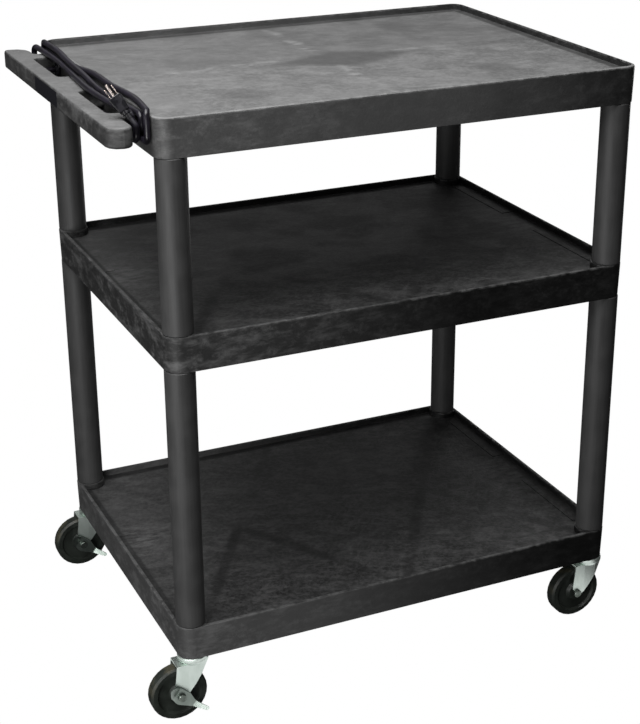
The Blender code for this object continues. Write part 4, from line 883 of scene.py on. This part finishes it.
@dataclass
class SupplyCord:
    """The cord from the skirt's gland, three times round the handle and up to its plug.

    Places are pairs: out from the skirt with past the bridge in the columns, and with a layer of the winding
    below the handle. Those over the handle are out from the skirt, and their rises are in top_rises.
    """

    diameter: float = 0.0102
    bend: float = 0.010
    layer: float = 0.0108
    rest: float = 0.0005
    gap: float = 0.0003
    loops: int = 3
    skirt: float = 0.4278
    handle_top: float = 1.0512
    handle_bottom: float = 1.0187
    bridge_bottom: float = 1.0362
    bridge: float = 0.250
    bridge_inside: float = 0.216
    web_half: float = 0.055
    gland_head: float = 0.0075
    gland_y: float = 0.2049762
    gland_z: float = 1.0294
    drop: float = 0.078
    pull_out: float = 0.016
    pull_along: float = 0.045
    tail_rise: float = 0.0020
    slope: float = math.radians(48.0)
    heading: float = math.radians(37.4)
    near_columns: tuple = ((0.0172, 0.0095), (0.0056, 0.0180), (0.0056, 0.0440), (0.0172, 0.0280))
    far_columns: tuple = ((0.0215, 0.0345), (0.0080, 0.0166), (0.0056, 0.0057))
    top_places: tuple = ((0.0182, 0.0267, 0.0290, 0.0244, 0.0186, 0.0166, 0.0196),
                         (0.0060, 0.0124, 0.0148, 0.0146, 0.0150, 0.0085, 0.0095),
                         (0.0020, -0.0060, 0.0010, 0.0014, 0.0054, 0.0056, 0.0056))
    top_rises: tuple = ((0.0,) * 7, (0.0, 0.0, 0.0, 0.0060, 0.0112, 0.0116, 0.0112),
                        (0.0098, 0.0098, 0.0098, 0.0098, 0.0030, 0.0, 0.0))
    turns: tuple = ((0.0167, 0), (0.0245, 0), (0.0167, 1), (0.0056, 2))
    fars: tuple = ((0.0167, 0), (0.0056, 0), (0.0062, 1), (0.0056, 2))
    webs: tuple = ((0.0167, 0), (0.0056, 0), (0.0056, 1), (0.0167, 2))
    nears: tuple = ((0.0172, 0), (0.0056, 0), (0.0056, 1), (0.0172, 1))
    far_along: float = 0.160
    web_past: float = 0.012
    near_before: float = 0.026
    over_shares: tuple = (0.0, 0.08, 0.40, 1.0)
    under_shares: tuple = (0.0, 0.5, 0.9, 1.0)
    over_steps: int = 6
    lead_steps: int = 10
    tail_steps: int = 5
    finer: int = 3
    round_steps: int = 5
    contact_edge: float = 0.0003

    def column(self, run: int, end: int) -> Span:
        """Place of an upright stretch at the near end (-1) or the far end (1)."""
        out, past = self.near_columns[run] if end < 0 else self.far_columns[run - 1]
        return -self.skirt - out, end * (self.bridge + past)

    def below(self, places: tuple, run: int, along: float, underside: float) -> Vector:
        """A station of a run below the handle, the lead being run 0, under a part with that underside."""
        out, layer = places[run]
        return Vector((-self.skirt - out, along,
                       underside - self.diameter / 2.0 - self.rest - self.layer * layer))

    def run(self, run: int) -> tuple[Vector, Vector, Vector]:
        """Stations of a run below the handle, from its far end to the near bridge."""
        return (self.below(self.fars, run, self.far_along, self.handle_bottom),
                self.below(self.webs, run, -self.web_half - self.web_past, self.handle_bottom),
                self.below(self.nears, run, self.near_before - self.bridge_inside, self.bridge_bottom))

    def quarter(self, run: int, end: int, foot: Vector, shares: tuple, upward: int) -> list[Vector]:
        """A quarter bend from a column to the run at foot, over the handle (upward 1) or below it (-1)."""
        x, y = self.column(run, end)
        return [Vector((x + (foot[0] - x) * share, y - end * self.bend * (1.0 - math.cos(angle)),
                        foot[2] - upward * self.bend * (1.0 - math.sin(angle))))
                for share, angle in ((s, math.pi / 2.0 * k / (len(shares) - 1)) for k, s in enumerate(shares))]

    def under_bend(self, run: int, end: int) -> list[Vector]:
        """The quarter bend between an upright stretch and the run below the handle."""
        places, underside = (self.nears, self.bridge_bottom) if end < 0 else (self.turns, self.handle_bottom)
        return self.quarter(run, end, self.below(places, run, 0.0, underside), self.under_shares, -1)

    def loop(self, index: int) -> list[Vector]:
        """Stations of one loop: along below the handle, up a near column, over it and down a far one.

        Args:
            index: Number of the loop.

        Returns:
            Points along the loop.
        """
        _, web, near = self.run(index)
        level = self.handle_top + self.diameter / 2.0 + self.rest
        tops = [Vector((-self.skirt - out, 0.0, level + rise))
                for out, rise in zip(self.top_places[index], self.top_rises[index])]
        start, end = self.column(index, -1)[1] + self.bend, self.column(index + 1, 1)[1] - self.bend
        points = [web, near, *reversed(self.under_bend(index, -1))]
        points += self.quarter(index, -1, tops[0], self.over_shares, 1)
        for step in range(1, self.over_steps):
            along = start + (end - start) * step / self.over_steps
            points.append(Vector((tops[step].x, along, tops[step].z)))
        points += reversed(self.quarter(index + 1, 1, tops[-1], self.over_shares, 1))
        points += self.under_bend(index + 1, 1)
        points.append(self.run(index + 1)[0])
        return points

    def lead(self) -> list[Vector]:
        """The stretch from the gland's face, down below the handle and along it to the first loop.

        Returns:
            Points along the stretch.
        """
        face = -(self.skirt + self.gland_head + self.gap * 2)
        points = [Vector((face, self.gland_y, self.gland_z)),
                  Vector((face - self.diameter, self.gland_y, self.gland_z))]
        start, end = points[-1], self.below(self.fars, 0, self.gland_y - self.drop, self.handle_bottom)
        first, last = start + Vector((-self.pull_out, 0.0, 0.0)), end + Vector((0.0, self.pull_along, 0.0))
        for step in range(1, self.lead_steps + 1):
            t = step / self.lead_steps
            points.append(start * (1 - t) ** 3 + first * (3 * t * (1 - t) ** 2) + last * (3 * t * t * (1 - t))
                          + end * t ** 3)
        return points

    def tail(self) -> list[Vector]:
        """The stretch along below the handle, up the last near column and on to the plug.

        Returns:
            Points along the stretch.
        """
        _, web, near = self.run(self.loops)
        points = [web, near, *reversed(self.under_bend(self.loops, -1))]
        x, y = self.column(self.loops, -1)
        axis = Vector((-math.sin(self.heading) * math.cos(self.slope),
                       math.cos(self.heading) * math.cos(self.slope), math.sin(self.slope)))
        turn = math.pi / 2.0 - self.slope
        foot = self.handle_top + self.tail_rise - axis.z * self.diameter - self.bend * math.sin(turn)
        across = Vector((axis.x, axis.y, 0.0)).normalized()
        for step in range(self.tail_steps + 1):
            angle = turn * step / self.tail_steps
            points.append(Vector((x, y, foot + self.bend * math.sin(angle)))
                          + across * (self.bend - self.bend * math.cos(angle)))
        points.append(points[-1] + axis * self.diameter)
        return points

    def smooth(self, stations: list[Vector]) -> list[Vector]:
        """A closer line through the stations, without corners.

        Args:
            stations: Points of the route.

        Returns:
            The closer points.
        """
        ends = [stations[0] * 2 - stations[1], *stations, stations[-1] * 2 - stations[-2]]
        made = []
        for a, b, c, d in zip(ends, ends[1:], ends[2:], ends[3:]):
            span = (c - b).length
            before = (c - a).normalized() * span
            after = (d - b).normalized() * span
            for step in range(self.finer):
                t = step / self.finer
                made.append(b * (2 * t ** 3 - 3 * t * t + 1) + before * (t ** 3 - 2 * t * t + t)
                            + c * (3 * t * t - 2 * t ** 3) + after * (t ** 3 - t * t))
        made.append(stations[-1])
        return made

    def build(self) -> None:
        stations = self.lead() + [p for index in range(self.loops) for p in self.loop(index)] + self.tail()
        shift = Vector((PLAN_SHIFT, 0.0, 0.0))
        route = [p + shift for p in self.smooth(stations)]
        curve = bpy.data.curves.new("supply_cord", "CURVE")
        curve.dimensions = "3D"
        curve.bevel_depth = self.diameter / 2.0
        curve.bevel_resolution = self.round_steps
        curve.use_fill_caps = True
        spline = curve.splines.new("POLY")
        spline.points.add(len(route) - 1)
        for point, place in zip(spline.points, route):
            point.co = (*place, 1.0)
        spline.use_smooth = True
        curve.materials.append(CORD_JACKET.material())
        cord = bpy.data.objects.new("supply_cord", curve)
        bpy.context.scene.collection.objects.link(cord)
        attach(cord, "frame")
        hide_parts("cord_lead", "cord_winding", "cord_tail")
        contacts = ["plug_prong_left", "plug_prong_right", "plug_ground_pin"]
        dress(["cord_gland", "plug_body"], PLUG_VINYL.material())
        dress(contacts, NICKEL_CONTACT.material(), self.contact_edge)


@dataclass(frozen=True)
class SoftBox:
    """A large soft lamp."""

    name: str
    place: Point
    aim: Point
    width: float
    height: float
    watts: float

    def build(self, only_on: bpy.types.Collection | None = None) -> None:
        """Make the lamp.

        Args:
            only_on: The pieces that it lights and that shade it, or nothing for all of them.
        """
        light = bpy.data.lights.new(self.name, "AREA")
        light.shape = "RECTANGLE"
        light.size, light.size_y = self.width, self.height
        light.energy = self.watts
        lamp = bpy.data.objects.new(self.name, light)
        lamp.location = self.place
        lamp.rotation_mode = "QUATERNION"
        lamp.rotation_quaternion = (Vector(self.aim) - Vector(self.place)).to_track_quat("-Z", "Y")
        lamp.visible_camera = False
        if only_on:
            lamp.light_linking.receiver_collection = only_on
            lamp.light_linking.blocker_collection = only_on
        bpy.context.scene.collection.objects.link(lamp)


@dataclass
class Studio:
    """Plain pale floor, dim even surround and soft lamps."""

    floor_half: float = 30.0
    seen: float = 1.0
    bounce: float = 0.04
    surround: float = 0.07
    white: str = "#ffffff"
    lamps: tuple[SoftBox, ...] = (
        SoftBox("overhead", (-0.5, -0.4, 3.4), (0.0, 0.0, 1.0), 2.4, 2.0, 92.0),
        SoftBox("over_left", (-1.3, -1.0, 2.7), (-0.2, -0.1, 1.0), 1.2, 1.2, 26.0),
        SoftBox("behind", (1.1, 2.8, 2.6), (0.1, 0.0, 1.06), 3.6, 1.2, 7.0),
        SoftBox("low_left", (-1.5, -1.4, 0.40), (-0.35, -0.2, 0.3), 0.8, 0.6, 13.0),
        SoftBox("side_left", (-2.0, -0.6, 0.9), (-0.4, -0.2, 0.55), 0.9, 0.9, 5.0),
        SoftBox("back_right", (2.6, 1.9, 0.50), (0.0, 0.0, 0.6), 1.8, 0.4, 12.0))
    metal_cards: tuple[SoftBox, ...] = (
        SoftBox("metal_floor_card", (-0.7, -1.0, 0.01), (-0.7, -1.0, 1.0), 2.4, 2.0, 12.0),
        SoftBox("metal_back_card", (0.5, 3.0, 1.5), (0.0, 0.0, 0.2), 4.0, 2.4, 3.0))

    def build(self) -> None:
        """Make the floor, the surround and the lamps."""
        self.build_floor()
        self.build_surround()
        for lamp in self.lamps:
            lamp.build()
        metals = self.metal_pieces()
        for card in self.metal_cards:
            card.build(metals)
        scene = bpy.context.scene
        scene.view_settings.view_transform = "Standard"
        scene.view_settings.look = "None"

    def metal_pieces(self) -> bpy.types.Collection:
        """Gather the bright metal pieces, which two cards light that nothing else sees.

        Returns:
            The collection.
        """
        pieces = bpy.data.collections.new("bright_metal_pieces")
        for name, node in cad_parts.items():
            if name.startswith(("caster_", "axle_", "brake_", "plug_prong", "plug_ground", "outlet_screw")):
                pieces.objects.link(node)
        return pieces

    def glow(self, tree: bpy.types.NodeTree, as_light: float) -> Socket:
        """Strength of a glow that the camera sees as white and that is dimmer as a light."""
        seen = add_node(tree, "ShaderNodeLightPath").outputs["Is Camera Ray"]
        return add_node(tree, "ShaderNodeMapRange", {0: seen, 3: as_light, 4: self.seen}).outputs[0]

    def build_floor(self) -> None:
        """Make the floor, which looks evenly white and gives back a part of that light."""
        size = self.floor_half
        mesh = bpy.data.meshes.new("studio_floor")
        mesh.from_pydata([(-size, -size, 0.0), (size, -size, 0.0), (size, size, 0.0), (-size, size, 0.0)], [],
                         [(0, 1, 2, 3)])
        floor = bpy.data.objects.new("studio_floor", mesh)
        material = bpy.data.materials.new("seamless_white_paper")
        material.use_nodes = True
        tree = material.node_tree
        tree.nodes.remove(tree.nodes["Principled BSDF"])
        light = add_node(tree, "ShaderNodeEmission",
                         {"Color": linear(self.white), "Strength": self.glow(tree, self.bounce)}).outputs[0]
        tree.links.new(light, tree.nodes["Material Output"].inputs["Surface"])
        mesh.materials.append(material)
        bpy.context.scene.collection.objects.link(floor)

    def build_surround(self) -> None:
        """Make the even surround: white to the eye, dim as a light."""
        world = bpy.data.worlds.new("studio_surround")
        bpy.context.scene.world = world
        world.use_nodes = True
        background = world.node_tree.nodes["Background"]
        world.node_tree.links.new(self.glow(world.node_tree, self.surround), background.inputs["Strength"])
        background.inputs["Color"].default_value = linear(self.white)


@dataclass(frozen=True)
class PhotoCamera:
    """The photo's view, solved from the shelves' straight edges."""

    place: Point = (-1.1583 + PLAN_SHIFT, -2.5465, 1.6531)
    forward: Point = (0.39045, 0.83732, -0.38268)
    upward: Point = (0.16268, 0.34638, 0.92388)
    focal_pixels: float = 1617.34
    centre_x: float = 345.78
    centre_y: float = 352.80
    image_width: float = 640.0
    image_height: float = 724.0
    sensor_mm: float = 36.0
    clip: Span = (0.05, 200.0)

    def build(self) -> None:
        """Make the camera and use it."""
        data = bpy.data.cameras.new("photo_camera")
        data.sensor_width = self.sensor_mm
        data.lens = self.focal_pixels / self.image_height * data.sensor_width
        data.shift_x = (self.image_width / 2.0 - self.centre_x) / self.image_height
        data.shift_y = (self.centre_y - self.image_height / 2.0) / self.image_height
        data.clip_start, data.clip_end = self.clip
        camera = bpy.data.objects.new("photo_camera", data)
        forward, upward = Vector(self.forward).normalized(), Vector(self.upward).normalized()
        side = forward.cross(upward).normalized()
        upward = side.cross(forward)
        turn = Matrix((side, upward, -forward)).transposed().to_4x4()
        camera.matrix_world = Matrix.Translation(self.place) @ turn
        bpy.context.scene.collection.objects.link(camera)
        bpy.context.scene.camera = camera


def main() -> None:
    """Build the cart's looks, the studio and the camera."""
    logging.basicConfig(level=logging.INFO, format="%(message)s")
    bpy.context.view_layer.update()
    for assembly in (Shelves(), Legs(), Casters(), OutletStrip(), SupplyCord(), Studio(), PhotoCamera()):
        LOG.info("building %s", type(assembly).__name__)
        assembly.build()
    bpy.context.view_layer.update()


if __name__ == "__main__":
    main()
